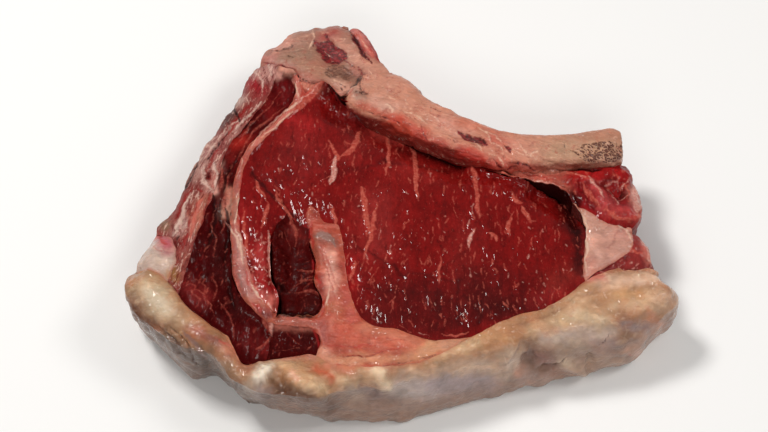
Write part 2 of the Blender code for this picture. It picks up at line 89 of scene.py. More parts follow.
# Plan of the steak, as in the part's source, with the chine meat's outer corner drawn 2 to 3 mm further in.
# Each point of the outline has X, Y, how far the foot of the wall stands out past the face, and the radius
# of the rounded upper edge.
OUTLINE = (
    (-25, 104, 0, 3), (-40, 102.5, 0, 3), (-54, 100.5, 0, 3), (-61.5, 93.5, 0, 3), (-68.8, 89, 0, 3),
    (-71.5, 81.5, 0, 3), (-77.8, 71, 0, 4), (-82, 58.5, 0, 4), (-87, 49, 0, 4), (-94.2, 34, 0, 4),
    (-101.8, 17.5, 0, 4), (-107, 0, 0, 4), (-111, -8.5, 0, 4), (-115.8, -13, 0, 3), (-116.4, -20.5, 0, 4),
    (-120.6, -28, 0, 5), (-124.5, -36, -1, 6), (-125, -40, -1, 6), (-128.6, -45, -2, 7), (-127, -54, -4, 8),
    (-120.5, -64.5, -6, 8), (-109, -74, -4, 7), (-98, -81, -3, 5), (-89, -83.5, -5.5, 5),
    (-82.5, -88.5, -5, 4), (-77, -97, -8, 4), (-66, -102.5, -10, 4), (-46, -106, -8, 4),
    (-35, -105, -4.5, 4), (-24, -100, 2, 4), (-2, -96, 5.5, 5), (17, -90, 7, 5), (35, -84.5, 7, 6),
    (53, -79, 8, 7), (71, -76.5, 5, 9), (89, -74, 3, 10), (106, -70, 2.5, 10), (119, -62, -2, 10),
    (128.4, -53, 0, 9), (126, -47, 0, 7), (121, -44.5, 0, 6), (119.5, -40.5, 0, 4), (117, -33, 0, 4),
    (116.6, -26, 0, 4), (113.6, -20.5, 0, 4), (109, -16.5, -1, 3), (113, -11.5, -3, 4), (114.4, -6, -1, 5),
    (115.2, -1, 0, 5), (113, 9, 0, 5), (112, 15, 0, 4), (107, 24, 0, 3), (98, 33, 0, 3), (78, 31.5, 0, 3),
    (58, 33, 0, 3), (40, 38.5, 0, 3), (22, 48, 0, 3), (8, 59, 0, 3), (-4.5, 72.5, 0, 3), (-11, 83.5, 0, 3),
    (-18.5, 99, 0, 3),
)

# The strip of gristle: X and Y of its middle line, and half its width.
SEAM_STRIP = (
    (-52.5, 72.5, 1.4), (-52, 57, 1.5), (-61, 42.5, 1.5), (-73, 28.6, 1.6), (-78.3, 13, 1.7),
    (-79.6, -4, 1.8), (-79, -19, 2.4), (-76.3, -32, 3.4), (-74.3, -45, 4), (-68.5, -57, 3.4),
    (-60, -66.5, 2.6),
)
INNER_EDGE = "the edge of the strip that faces the eye muscle"
OUTER_EDGE = "the edge of the strip that faces the rim"

# The seams between the pieces, as X and Y, in the order in which they are drawn: each one ends on the
# outline or on a seam before it.
SEAMS = {
    "fat_cap_inner": (
        (-124.2, -40.5), (-116.5, -41.5), (-107, -49), (-100, -59), (-88.5, -69), (-80, -75.5),
        (-76.5, -83), (-72, -89.5), (-62, -88), (-42, -84.5), (-31, -90), (-8, -91.5), (14, -86.5),
        (31, -75.5), (50, -65), (67, -59.5), (78, -52.5), (85, -46.5), (100, -40.7), (119.5, -40.5),
    ),
    "chine_lower": (
        (-70.5, 80.5), (-60, 78.5), (-53.5, 75.5), (-50.5, 69), (-45, 66), (-38, 67.5), (-30, 58),
    ),
    "chine_to_rib": ((-30, 58), (-21, 63), (-13, 67), (-3, 73)),
    "chine_groove": ((-27, 104), (-22.5, 93), (-16, 83), (-5, 77.5)),
    "rib_side": (
        (-30, 58), (-20, 52), (-3, 40.5), (15, 30), (33, 21), (51, 13.5), (69, 8.5), (78, 4.5), (82, -3),
    ),
    "flap_top": ((82, -3), (90, -9.4), (98.5, -15.2), (109, -16.5)),
    "flap_left": ((82, -3), (86.5, -15), (86.2, -28), (84.5, -40), (85, -46.5)),
    "flap_low": ((85, -46.5), (94.5, -38.8), (107, -29), (109.3, -23), (109, -16.5)),
    "eye_lower": (
        (31, -75.5), (23, -77), (9, -76.3), (-2, -71.6), (-14.5, -69.4), (-20.5, -62), (-25, -48),
        (-27.5, -32), (-30, -16.5), (-36.5, -15), (-40, -9), (-44.5, -5.5),
    ),
    "strip_inner": INNER_EDGE,
    "strip_outer": OUTER_EDGE,
    "eye_to_side": (
        (-76, 15.5), (-65.3, 5), (-59, -1), (-53.9, -9.5), (-48, -15), (-43.5, -18),
    ),
    "seam_fat_left": (
        (-44.5, -5.5), (-45.2, -12), (-43.5, -18), (-43.5, -26), (-40.5, -37), (-41, -46), (-37, -57),
        (-39, -64), (-48, -64.2), (-58, -64.8),
    ),
    "strip_end": ((-58, -64.8), (-62, -68.2)),
    "seam_fat_arm": (
        (-62, -68.2), (-52, -69.8), (-43, -71), (-37.5, -76), (-39, -85.5),
    ),
    "cliff": (
        (-58, -64.8), (-57.3, -56), (-60.5, -46.5), (-61.8, -38), (-61.8, -27), (-59, -17), (-54.5, -9),
    ),
    "lower_muscle_side": ((-62, -68.2), (-60.5, -78), (-62, -88)),
    "rim_inner": (
        (-62, 78.5), (-65.5, 63), (-75, 45), (-85, 27.5), (-89.3, 8), (-94.4, -12), (-99, -31),
        (-102, -46), (-103.5, -54),
    ),
    "tendon_inner": (
        (-115.8, -20), (-108, -24), (-105.3, -36), (-109, -47.5),
    ),
}

# The outer walls bulge in the middle and are tucked in at the foot, by these shares of the edge's radius.
WALL_BULGE = 0.15
FOOT_SHARE = 0.25
FOOT_TUCK = 0.35
OUTER_SHARES = np.linspace(35 / 36, 0, 36)
INNER_SHARES = np.array((0.985, 0.95, 0.88, 0.72, 0.5, 0.25, 0))
SMOOTH_UP_TO = math.radians(58)
LINE_WOBBLE = ((0.45, 7.0), (0.28, 2.4))
# A corner is on the outline when it is this near to it, and a piece with more such corners than this has an
# outer wall. A wall has turned all the way down this far below the edge, and counts as wall between these
# tilts.
AT_RIM = 0.02
FEW_CORNERS = 8
WALL_TURN = 4.0
WALL_TILTS = (0.3, 0.8)

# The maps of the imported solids' heights. Pieces that meet within the first step of LEVEL_WITHIN are level
# with each other there, and those past the second keep their step.
MAP_CELL = 0.8
MAP_CORNER = np.array((-136.0, -118.0))
MAP_SHAPE = (290, 342)
MAP_BLUR = 2.2
RAY_HEIGHT = 100.0
UNDER_RIB = 30.0
UNKNOWN = 1e-4
LEVEL_WITHIN = (1.6, 2.7)

# The rib: X and Y of its middle line, with half its width and its height. Its section is a squarish oval as
# in the part, squarer still, and its left end runs on into the chine bone.
RIB_LINE = (
    (-27, 66.2, 6.5, 31), (-22, 64.2, 11, 30), (-14.6, 62, 14.4, 29.2), (-5.4, 57, 14.8, 31),
    (6, 47.2, 11.6, 34), (20, 38.2, 10.8, 35.6), (34, 31.1, 10.3, 36), (48, 26.4, 9.6, 36), (62, 25.1, 9, 36),
    (76, 25.3, 8.5, 36), (90, 26.7, 8.9, 36), (98, 27.7, 9.5, 36), (103, 28.3, 9.2, 36), (106.2, 28.4, 8, 36),
)
RIB_FLATTENING = 0.8
RIB_SQUARENESS = 4.4
RIB_SIDES = 110
RIB_ROOT = 2.6
RIB_WALL = (0.55, 0.1)
RIB_END = ((0.25, 0.975), (0.7, 0.93), (1.0, 0.85), (1.15, 0.7), (1.2, 0.5), (1.2, 0.3), (1.2, 0.12))

# Marks: how far one reaches, the step along it, how thin it is at its tips, how steeply it widens from
# them, and how its edge and the patches stray. They show on what faces the camera by more than the first
# number of SEEN, and in full from the second on.
MARK_REACH = 5.0
MARK_STEP = 2.0
TIP_WIDTH = 0.2
TIP_SLOPE = 5.0
SEEN = (0.02, 0.3)
MARK_WOBBLE = ((0.7, 6.0), (0.55, 2.2))
PATCH_WOBBLE = ((1.6, 9.0), (1.0, 3.2), (0.6, 1.4))
# The dark marks are sunken clefts, cracks and gaps between parts: the relief sinks there, and their dark
# colour is painted shade.
SALMON, CREAM, CLEFT_SHADE, RED, SPONGY, GREY = KINDS = ("salmon", "cream", "dark", "red", "spongy", "grey")
FACE, WALL = "face", "wall"

# Flecks: the first one's seed, how far they turn from their slant in degrees, how their size and their bend
# vary, their width for a size, and their width along them.
FLECK_SEED = 100
FLECK_TURN = 14
FLECK_SIZES = (0.35, 1.15)
FLECK_BEND = 0.12
FLECK_WIDTH = (0.45, 0.6)
FLECK_TAPER = np.array((0.4, 1, 0.5))
FLECK_REACH = 1.5

# What shows of the walls between two pieces, where one of them stands lower: dark colours, painted on as
# shade.
SEAM_SHADE_COLOURS = {"lean": (42, 7, 7), "fat": (96, 34, 30), "rim": (70, 16, 15), "bone": (40, 10, 9)}

# Each piece: a spot inside it, its colour on the face and on its walls as on a screen, and its tissue.
PIECES = {
    "fat_cap": ((60, -68), (171, 122, 86), (150, 117, 100), "fat"),
    "eye_muscle": ((20, -30), (111, 12, 11), (84, 14, 13), "lean"),
    "seam_fat": ((-32, -45), (168, 70, 50), (140, 56, 48), "fat"),
    "seam_strip": ((-76.3, -32), (154, 68, 60), (140, 60, 52), "fat"),
    "side_muscle": ((-68, -10), (110, 8, 8), (96, 18, 17), "lean"),
    "inner_muscle": ((-50, -40), (61, 5, 5), (48, 7, 6), "lean"),
    "lower_muscle": ((-48, -77), (58, 4, 4), (50, 9, 8), "lean"),
    "outer_muscle": ((-87, -20), (59, 3, 4), (62, 9, 9), "lean"),
    "side_rim": ((-100, -5), (142, 66, 60), (116, 48, 44), "rim"),
    "backstrap_tendon": ((-113, -35), (188, 162, 148), (166, 134, 120), "fat"),
    "chine_bone": ((-45, 85), (156, 107, 89), (146, 86, 74), "bone"),
    "chine_meat": ((-18, 90), (198, 100, 86), (150, 40, 38), "bone"),
    "intercostal_meat": ((100, 0), (128, 18, 19), (124, 30, 28), "lean"),
    "fascia_flap": ((95, -25), (186, 134, 118), (170, 100, 86), "fat"),
    "tail_meat": ((108, -34), (124, 40, 38), (120, 36, 34), "lean"),
    # The rib's sides below its top take the dark red wall colour as painted shade.
    "rib_bone": ((0, 0), (192, 127, 103), (124, 34, 28), "bone"),
}

# Marks on the pieces named: kind, half width, rise, then the X and Y of the points that it runs through.
MARKS = {
    ("eye_muscle",): (
        (SALMON, 1.3, 0.25, -19.4, 5, -17.5, -8, -15.8, -20),
        (SALMON, 0.9, 0.2, -12, -4, -14, -16, -16, -28, -18, -35),
        (SALMON, 1.2, 0.25, 4.8, 29, 6.4, 21, 7.3, 6, 8, -2),
        (SALMON, 0.9, 0.2, -8.4, 40, -5.7, 29, -6.4, 19.8, -7.4, 12.5),
        (SALMON, 0.9, 0.2, -4.6, 36, 0.5, 29.5),
        (SALMON, 1.0, 0.2, 33.4, 14.4, 35.7, 6.7, 36.4, -1.7, 36.2, -12),
        (SALMON, 1.2, 0.2, -19.8, 37.8, -22.5, 31, -25.4, 26, -28.6, 22),
        (SALMON, 1.4, 0.2, -27.4, 31, -22, 30.5), (SALMON, 0.7, 0.2, -23.7, 23.6, -22.5, 13.6),
        (SALMON, 0.7, 0.2, -36, 32, -33.4, 27, -30, 21.5, -34, 20),
        (CREAM, 1.3, 0.4, -31.4, 22.5, -32.6, 14, -34.6, 6), (SALMON, 0.8, 0.2, -33.6, 12, -38.5, 8.9),
        (SALMON, 0.8, 0.2, 52.1, -0.2, 54, -3.4, 57.4, -4.2),
        (SALMON, 1.1, 0.2, 57, -6, 59.6, -11, 61.6, -15), (SALMON, 0.8, 0.2, 61, -14.6, 64, -13.4),
        (SALMON, 1.0, 0.2, 52.2, -10.9, 51, -16, 50.6, -22),
        (SALMON, 0.9, 0.2, 40.6, -20.6, 43.5, -22, 44.6, -25.4), (SALMON, 1.1, 0.2, 61.6, -23, 61, -27),
        (SALMON, 0.9, 0.2, 73.1, -18.6, 73.9, -22.8), (SALMON, 0.8, 0.2, 67, -28.5, 69.3, -32.4),
        (SALMON, 0.9, 0.2, 23.6, -41.5, 24.2, -48.5), (SALMON, 0.6, 0.2, 17.3, -33.9, 17.2, -41, 16.6, -49),
        (SALMON, 0.7, 0.2, -10.6, -39.6, -15.8, -47.7), (SALMON, 0.7, 0.2, -21.5, -36, -23, -41, -24, -47),
        (SALMON, 0.7, 0.2, 47.5, -37.7, 47.9, -42), (SALMON, 1.2, 0.2, -3.4, -54.6, -4.4, -62),
        (SALMON, 0.7, 0.2, -5.4, -37.6, -5.8, -43), (SALMON, 0.6, 0.2, 22.4, -57, 22.6, -62),
        (SALMON, 0.7, 0.2, 28.8, -12.5, 29.5, -19.6), (SALMON, 0.9, 0.2, 31.6, -33, 32, -37),
        (CREAM, 0.7, 0.2, 34.6, -3.4, 33.6, -9.6), (CREAM, 0.7, 0.2, 32, -13, 31.2, -16.4),
        (CREAM, 0.8, 0.2, 34.2, -18.6, 32.6, -24, 31.4, -28), (CREAM, 0.8, 0.2, 28.5, -63.8, 28.4, -67.4),
        (CREAM, 0.6, 0.2, -5, -28, -5.2, -33), (CREAM, 0.6, 0.2, -10.4, -17, -11, -24),
        (CREAM, 0.5, 0.2, 31.2, -40, 31.6, -44), (CREAM, 0.8, 0.2, -13.4, -59.6, -12.6, -59.2),
        (SALMON, 0.8, 0.2, -33.4, -6, -32, -13, -30.6, -18),
        (SALMON, 0.8, 0.2, 86, -32, 84.6, -40, 84, -46), (SALMON, 0.6, 0.2, -2, -70, 4, -74),
        (CREAM, 0.4, 0.2, 8, -74, 12, -75.6), (SALMON, 0.5, 0.2, 18, -74.4, 24, -75.6, 30, -74),
        (CREAM, 0.4, 0.2, -14, -66, -9, -68.4),
    ),
    ("side_muscle", "eye_muscle", "inner_muscle"): (
        (SALMON, 0.8, 0.4, -59, 0, -56, -7, -53, -13, -50, -19, -49.4, -26),
        (SALMON, 0.4, 0.3, -60.5, 4, -58, -4, -55, -9), (SALMON, 1.6, 0.3, -43, -6, -43, -13, -40, -17),
    ),
    ("eye_muscle", "seam_strip", "outer_muscle"): (
        (SALMON, 2.2, 0.6, -53.6, 72, -51.6, 65, -50, 59, -47, 54),
        (CREAM, 0.5, 0.3, -54.4, 70, -52.4, 63, -51, 57),
        (SALMON, 2.6, 0.6, -37, 67, -44, 60.5, -52, 52, -60, 44.5),
        (SALMON, 1.5, 0.5, -58, 46, -66, 38, -73, 29),
        (CREAM, 0.6, 0.3, -41, 64, -50, 56, -58, 48, -66, 40, -74, 29),
        (CREAM, 0.5, 0.3, -52, 50, -60, 41.5, -68, 34), (RED, 1.0, -0.2, -45, 66, -49, 60),
    ),
    ("side_muscle",): (
        (CREAM, 0.8, 0.5, -63.6, -19, -62.6, -24, -61.8, -32, -61.6, -42, -58, -50, -57, -54),
        (SALMON, 0.7, 0.2, -71.5, 14, -68, 4, -64, -3), (SALMON, 0.9, 0.2, -64, -4, -65.4, -13, -66, -17),
        (SALMON, 0.6, 0.2, -75, -8, -74, -22, -71, -36), (CREAM, 0.5, 0.2, -66.6, -20, -66, -28),
        (CREAM, 0.5, 0.3, -67, -38, -63, -42), (CREAM, 0.6, 0.3, -68, -47, -64, -49),
        (CREAM, 1.2, 0.3, -62, -58, -60, -66, -59, -73), (RED, 0.6, -0.3, -66, -52, -61, -61),
    ),
    ("outer_muscle",): (
        (SALMON, 0.35, 0.3, -100, -47, -96, -49, -97, -54, -93, -57, -95, -61),
        (SALMON, 0.3, 0.3, -96, -46, -91, -49, -92, -55, -88, -60, -86, -66),
        (SALMON, 0.3, 0.3, -84, -56, -79, -66, -76, -78),
        (SALMON, 0.35, 0.3, -99, -52, -94, -52, -90, -57, -91, -62),
        (SALMON, 0.25, 0.2, -89, -44, -86, -50, -87, -57),
        (SALMON, 0.25, 0.3, -89, -4, -90, -14, -88, -24, -88, -34),
        (SALMON, 0.35, 0.3, -86, -2, -84, -12, -86, -22),
        (SALMON, 0.6, 0.3, -64, 66, -69, 56, -76, 46, -83, 36),
        (SALMON, 0.5, 0.3, -60, 62, -66, 52, -74, 42, -80, 30),
        (SALMON, 0.5, 0.3, -57, 52, -66, 44, -75, 34, -80, 22), (CREAM, 0.4, 0.3, -72, 44, -77, 36),
        (SALMON, 0.8, 0.5, -87, 18, -86.4, 10, -87.6, 3), (SALMON, 0.4, 0.4, -82, 14, -84, 6, -84, -2),
        (CLEFT_SHADE, 1.0, -0.8, -80, -46, -79, -56, -77, -62), (CLEFT_SHADE, 1.1, -0.8, -91, 2, -89, -12, -91, -30),
        (CLEFT_SHADE, 0.8, -0.8, -83.6, -2, -83, -14, -82.4, -26, -83, -40),
        (CLEFT_SHADE, 0.7, -0.6, -79, 26, -84, 12, -86, 2),
    ),
    ("inner_muscle",): (
        (SALMON, 0.2, 0.3, -39.6, -41, -44, -43, -48, -41),
        (SALMON, 0.2, 0.3, -39.6, -45, -45, -46.6, -49, -50),
        (SALMON, 0.2, 0.3, -38.6, -48.6, -44, -49.6, -46, -52), (SALMON, 0.2, 0.3, -40, -36, -45, -37),
        (SALMON, 0.4, 0.3, -36, -57, -42, -54, -50, -53), (SALMON, 0.5, 0.2, -55, -20, -52, -32),
        (SALMON, 0.4, 0.2, -46, -56, -44, -63),
    ),
    ("lower_muscle", "outer_muscle"): (
        (SALMON, 1.7, 0.4, -63, -65, -61, -69.6, -60, -74),
        (CREAM, 0.7, 0.4, -61.4, -65, -60, -70, -59.4, -76),
        (SALMON, 0.7, 0.3, -60, -76, -62, -80, -66, -82),
    ),
    ("lower_muscle",): (
        (SALMON, 0.6, 0.2, -60, -69, -60, -78), (SALMON, 0.5, 0.2, -53, -74, -47, -80),
        (SALMON, 0.4, 0.2, -58, -84, -46, -82),
    ),
    ("outer_muscle", "seam_strip"): (
        (SALMON, 1.8, 0.4, -82, 5, -83.4, -2, -84, -8), (GREY, 1.9, 0.3, -83.6, -5, -83, -13),
        (CREAM, 0.5, 0.3, -84.4, -14, -81, -19, -78, -25, -76, -30),
        (CLEFT_SHADE, 0.7, -0.5, -86.4, -2, -87, -12, -85.6, -18),
    ),
    ("side_rim", "outer_muscle"): (
        (RED, 1.7, -0.9, -93, 14, -92.6, 9), (CLEFT_SHADE, 0.8, -0.9, -93.4, 13, -92.8, 9.6),
        (CREAM, 0.6, 0.4, -95.6, 17, -95.4, 9, -92, 5.6), (CREAM, 0.7, 0.4, -90.6, 19, -89.4, 12, -89, 4),
        (CREAM, 0.3, 0.3, -86, 40, -91, 30, -96, 20), (CLEFT_SHADE, 0.35, -0.4, -84, 40, -90, 29, -94, 20),
    ),
    ("seam_fat", "inner_muscle"): (
        (RED, 0.9, -0.3, -42.6, -14, -43, -22, -41, -30), (RED, 0.8, -0.3, -41, -36, -40, -44, -37.4, -49),
        (SALMON, 0.6, 0.3, -47, -41, -43, -42.6, -38, -41),
        (SALMON, 0.5, 0.3, -48, -47, -43, -47.6, -38, -46),
        (SALMON, 0.5, 0.3, -49, -54, -43, -53, -36, -56), (RED, 0.9, -0.3, -37, -56, -36, -62, -38, -66),
        (CLEFT_SHADE, 0.8, -0.4, -56, -64.6, -48, -65, -40, -65),
    ),
    ("seam_fat", "lower_muscle"): (
        (SALMON, 0.6, 0.3, -42, -70, -38, -73, -36, -78), (RED, 0.7, -0.3, -41, -72, -38.6, -76, -38, -82),
        (SALMON, 0.5, 0.2, -52, -69, -46, -72),
    ),
    ("seam_fat",): (
        (GREY, 1.6, 0.2, -41, -23, -37.4, -21.4, -33, -24, -31, -28),
        (SALMON, 0.8, 0.3, -44, -15, -36, -17.4, -29, -17.6, -26.8, -26, -26, -36, -25, -47),
        (SALMON, 0.8, 0.3, -33.6, -8, -32, -14, -30, -19),
        (RED, 0.25, -0.4, -38, -27, -36, -37, -33, -48, -30, -59),
        (RED, 0.2, -0.3, -36, -29, -33, -40, -29, -52),
        (RED, 0.35, -0.5, -30, -85.4, -18, -85, -8, -83, 0, -81),
        (CLEFT_SHADE, 0.15, -0.3, -28, -85.6, -18, -85.2, -8, -83.2),
        (RED, 0.3, -0.4, -38, -90.4, -24, -90.6, -10, -90.8),
        (CLEFT_SHADE, 0.15, -0.3, -8, -90.4, 4, -88, 14, -85.6, 28, -81.6),
        (CREAM, 0.5, 0.3, -34, -50, -35, -58, -38, -66), (RED, 0.25, -0.4, -34, -80, -22, -80.4, -12, -80),
        (RED, 0.2, -0.3, -24, -76, -10, -76.6, 2, -78), (RED, 0.8, 0.0, -38, -91, -35, -91.4),
        (RED, 1.0, 0.0, -27, -91, -22, -91.6), (RED, 0.7, -0.2, -23, -55, -19, -64, -13, -70),
        (CLEFT_SHADE, 0.2, -0.3, -42, -74, -35, -82), (SALMON, 0.6, 0.3, -57, -66, -46, -66.4, -38, -69),
    ),
    ("seam_strip",): (
        (GREY, 1.3, 0.0, -81, -4, -81.6, -14),
        (RED, 0.9, -0.2, -74.6, 20, -76.4, 10, -77.2, 0, -77.2, -12, -76, -20),
        (GREY, 2.6, 0.0, -76, -43, -74, -50), (CLEFT_SHADE, 0.5, -0.4, -79, -48, -77, -55, -73, -59),
        (RED, 0.6, -0.3, -70, -58, -66, -60, -64, -64), (SALMON, 0.5, 0.3, -72, -56, -68, -60, -66, -66),
        (RED, 0.35, -0.3, -73, -40, -71, -48, -68, -53), (CREAM, 0.5, 0.3, -70, -48, -66, -54, -62, -58),
        (GREY, 1.0, 0.0, -77, -26, -77, -34), (CREAM, 0.5, 0.3, -78, 4, -78.4, -8, -79, -17),
        (CREAM, 0.5, 0.3, -78.6, -18, -75.6, -28, -74.4, -38), (CREAM, 0.4, 0.3, -78, 22, -79, 10),
        (RED, 0.5, -0.3, -75, 24, -80, 12), (CLEFT_SHADE, 0.4, -0.4, -82.6, 4, -83, -8),
    ),
    ("side_rim",): (
        (CREAM, 0.9, 0.6, -101, 1, -104, -10, -107, -22), (SALMON, 1.2, 0.5, -95, -1, -98, -11, -100, -23),
        (RED, 0.9, -0.7, -91.6, 2, -94, -12, -97, -26, -99, -38),
        (RED, 0.7, -0.5, -101, 5, -104, -4, -108, -13), (RED, 0.6, -0.5, -97, -4, -101, -15, -103, -30),
        (CLEFT_SHADE, 0.6, -0.9, -85, 52, -81.4, 50, -79, 44), (CLEFT_SHADE, 1.2, -0.6, -87, 46, -84, 42),
        (CREAM, 0.7, 0.6, -80, 58, -82, 52), (CREAM, 0.4, 0.5, -79, 46, -84, 40, -88, 34),
        (RED, 1.3, -0.5, -75, 56, -81, 44, -88, 33), (RED, 0.8, -0.5, -71, 62, -78, 48),
        (CREAM, 0.5, 0.4, -70, 56, -76, 46, -83, 37), (RED, 1.0, -0.4, -93, 34, -97, 24),
        (CREAM, 0.5, 0.5, -90, 40, -95, 28, -99, 18), (RED, 0.7, -0.5, -88, 30, -93, 18, -97, 8),
        (CREAM, 0.6, 0.5, -97, 16, -96, 8, -91, 4), (RED, 1.0, -0.4, -98, 4, -95, 3),
        (CLEFT_SHADE, 0.5, -0.7, -98, 22, -102, 10, -106, 0), (CLEFT_SHADE, 0.5, -0.8, -105, -22, -106.4, -29),
        (RED, 1.0, -0.5, -105, -24, -103, -29), (CREAM, 0.5, 0.3, -76, 77, -70, 70, -69, 62),
        (CREAM, 0.5, 0.3, -66, 79, -65, 72),
    ),
    ("backstrap_tendon",): (
        (RED, 3.0, 0.0, -114, -23, -111, -27), (RED, 0.5, 0.0, -117, -28, -112, -31),
        (CLEFT_SHADE, 0.8, -0.6, -123, -39.6, -122, -40.4), (CLEFT_SHADE, 0.6, -0.6, -107, -41, -105, -50),
    ),
    ("chine_bone",): (
        (RED, 4.9, -0.8, -41, 92, -35, 87, -29, 82.6), (RED, 3.2, -0.8, -40, 87, -36, 82.4, -30, 81),
        (RED, 4.0, -0.8, -44, 94, -39, 89), (RED, 3.4, -0.8, -34, 89, -28, 86),
        (RED, 2.8, -0.5, -39, 98, -36, 92), (RED, 1.6, -0.5, -30, 83, -23, 77),
        (RED, 1.4, -0.4, -44, 92, -42, 87), (RED, 1.3, -0.4, -52.4, 73, -51, 70.5),
        (RED, 1.0, -0.3, -58, 74, -56, 72), (RED, 1.2, -0.3, -45, 67.4, -41, 66),
        (RED, 0.8, -0.3, -47.8, 83.8, -47, 83), (RED, 0.5, -0.4, -20, 75, -17, 71),
        (CREAM, 0.8, 0.4, -35.4, 80.6, -34.4, 81.2), (CREAM, 0.4, 0.3, -39, 88, -37, 85),
        (CREAM, 0.4, 0.3, -33, 88, -31, 85), (SPONGY, 4.0, -0.4, -37, 75, -30, 73.6, -24, 72),
        (SPONGY, 3.6, -0.2, -49, 70, -45, 67), (SPONGY, 2.6, -0.3, -56.4, 85, -54, 83),
        (GREY, 1.2, -0.3, -36, 75, -24, 72), (CREAM, 0.5, 0.4, -45.5, 100, -44.6, 94, -46, 89),
        (CLEFT_SHADE, 0.3, -0.6, -67, 87.2, -61, 87.4, -56.4, 89.4, -55, 92), (CLEFT_SHADE, 0.35, -0.9, -58, 97, -60, 94),
        (RED, 0.7, -0.3, -68, 85, -65, 86.4), (RED, 0.4, -0.3, -70, 80.4, -62, 79, -56, 76),
        (CLEFT_SHADE, 0.35, -1.0, -30.6, 64.4, -26.6, 60.6), (CREAM, 0.35, 0.2, -21, 68.6, -26.2, 61.8),
        (CREAM, 0.5, 0.4, -34, 69, -29, 66),
    ),
    ("chine_bone", "rib_bone"): (
        (CLEFT_SHADE, 0.5, -0.8, -19.6, 74, -20.4, 71, -23, 66.5, -27.4, 61),
        (CLEFT_SHADE, 0.35, -0.6, -20.4, 70, -20.2, 65, -19, 60), (CLEFT_SHADE, 0.3, -0.5, -19.4, 71, -18.4, 66),
        (CREAM, 0.5, 0.4, -21.4, 69, -24, 64.6, -27, 61.4), (SPONGY, 3.0, -0.5, -23, 62, -17, 61),
        (SPONGY, 1.6, -0.3, -34, 68, -28, 65), (RED, 0.4, -0.2, -21, 78, -20, 74, -17, 72),
        (CREAM, 0.3, 0.2, -17, 76, -13, 70),
    ),
    ("chine_bone", "chine_meat"): (
        (CLEFT_SHADE, 0.45, -0.8, -27, 101, -23.4, 95, -20.6, 88, -16.4, 82),
        (RED, 1.3, -0.3, -25.4, 99, -22, 92, -19, 85, -14.6, 80),
    ),
    ("chine_meat",): (
        (RED, 1.4, -0.4, -15, 92, -10, 82), (RED, 1.0, -0.4, -21, 101, -16, 95),
        (CREAM, 0.4, 0.4, -20, 95, -16, 88), (CREAM, 0.4, 0.3, -19, 79, -15, 73),
    ),
    ("rib_bone",): (
        (RED, 1.5, -1.0, 28, 38, 32, 35, 40, 31.6, 42.4, 29.6), (RED, 0.5, -0.4, 32, 30.6, 40, 30),
        (RED, 1.0, -0.4, 50.6, 28.6, 53, 25), (RED, 0.6, -0.3, 15, 52, 19, 50.6),
        (RED, 0.5, -0.3, 10, 55, 12, 53.6), (RED, 0.7, -0.3, 22, 34, 27, 31.4),
        (RED, 0.3, -0.3, 10, 41, 12, 35, 14, 31), (RED, 0.3, -0.3, 3, 46, 9, 44),
        (RED, 0.3, -0.4, -16, 49, -4, 43.6, 1, 41), (CREAM, 0.4, 0.4, 32, 29.4, 38, 29),
        (CREAM, 0.25, 0.3, 37, 40, 42, 36, 44, 30), (CREAM, 0.3, 0.3, 44, 31, 48, 27.6, 49, 23),
        (CREAM, 0.25, 0.3, 42, 37, 47, 34, 49, 30), (CREAM, 0.3, 0.3, 33, 33, 38, 29.6, 40, 25),
        (CREAM, 0.3, 0.3, 43, 25, 48, 21, 50, 18), (CREAM, 0.3, 0.3, 54, 27, 60, 24, 66, 25.6, 68, 28),
        (RED, 0.9, -0.5, 50, 29, 52.4, 26.6, 53, 24), (RED, 0.35, -0.4, 44, 21, 50, 17, 56, 17.4),
        (RED, 0.35, -0.4, 52, 19.6, 60, 18, 66, 14.6), (RED, 0.4, -0.4, 47, 16.4, 53, 13),
        (CREAM, 0.6, 0.5, -9, 54, -4, 50.6, -4.6, 48.6), (CREAM, 0.5, 0.5, -6, 52.6, -2.6, 50),
        (CREAM, 0.4, 0.4, 0, 50, 8, 47, 13, 42), (CREAM, 0.4, 0.3, 16, 47, 20, 42),
        (CREAM, 0.4, 0.3, 57, 31, 62, 24, 66, 21), (SPONGY, 6.0, -0.6, 86, 25, 96, 25.4, 108, 26),
        (SPONGY, 2.0, -0.3, 82, 26, 88, 25), (CLEFT_SHADE, 0.3, -0.5, -20, 66, -17, 60),
        (CLEFT_SHADE, 0.3, -0.5, -22, 62, -16, 61), (CLEFT_SHADE, 0.2, -0.3, 80, 31, 79.4, 24),
    ),
    ("intercostal_meat",): (
        (RED, 0.8, 0.3, 98, 14, 102, 16), (RED, 0.7, 0.3, 103, 13, 107, 14),
        (CREAM, 0.7, 0.6, 90, 12, 93.6, 5, 96.4, -2), (SALMON, 0.9, 0.5, 87, 8, 90, 0, 94, -7),
        (SALMON, 1.2, 0.8, 47, 11.6, 56, 9, 64, 6.4, 74, 4.4),
        (CREAM, 0.8, 0.8, 54, 10, 62, 8.4, 70, 7.4, 76, 5), (CREAM, 1.2, 0.9, 55, 15.4, 66, 16, 76, 15),
        (SALMON, 1.2, 0.6, 60, 14, 70, 12), (RED, 0.5, -0.6, 56, 12.6, 66, 11, 74, 9),
        (RED, 0.5, -0.5, 50, 10, 58, 7, 66, 5), (CREAM, 2.0, 0.3, 112.4, 6, 112.8, -4, 112, -9),
        (SALMON, 2.6, 0.3, 110, -12, 114, -12), (CLEFT_SHADE, 0.9, -1.6, 76, 15.6, 86, 15.8, 97, 15),
        (RED, 2.2, -0.8, 99, 9, 103, 5, 102, 1), (RED, 1.4, -0.8, 104, 9, 107, 4),
        (CLEFT_SHADE, 0.6, -0.6, 100, 9, 102, 5), (CLEFT_SHADE, 0.5, -0.6, 104.6, 7, 104, 3),
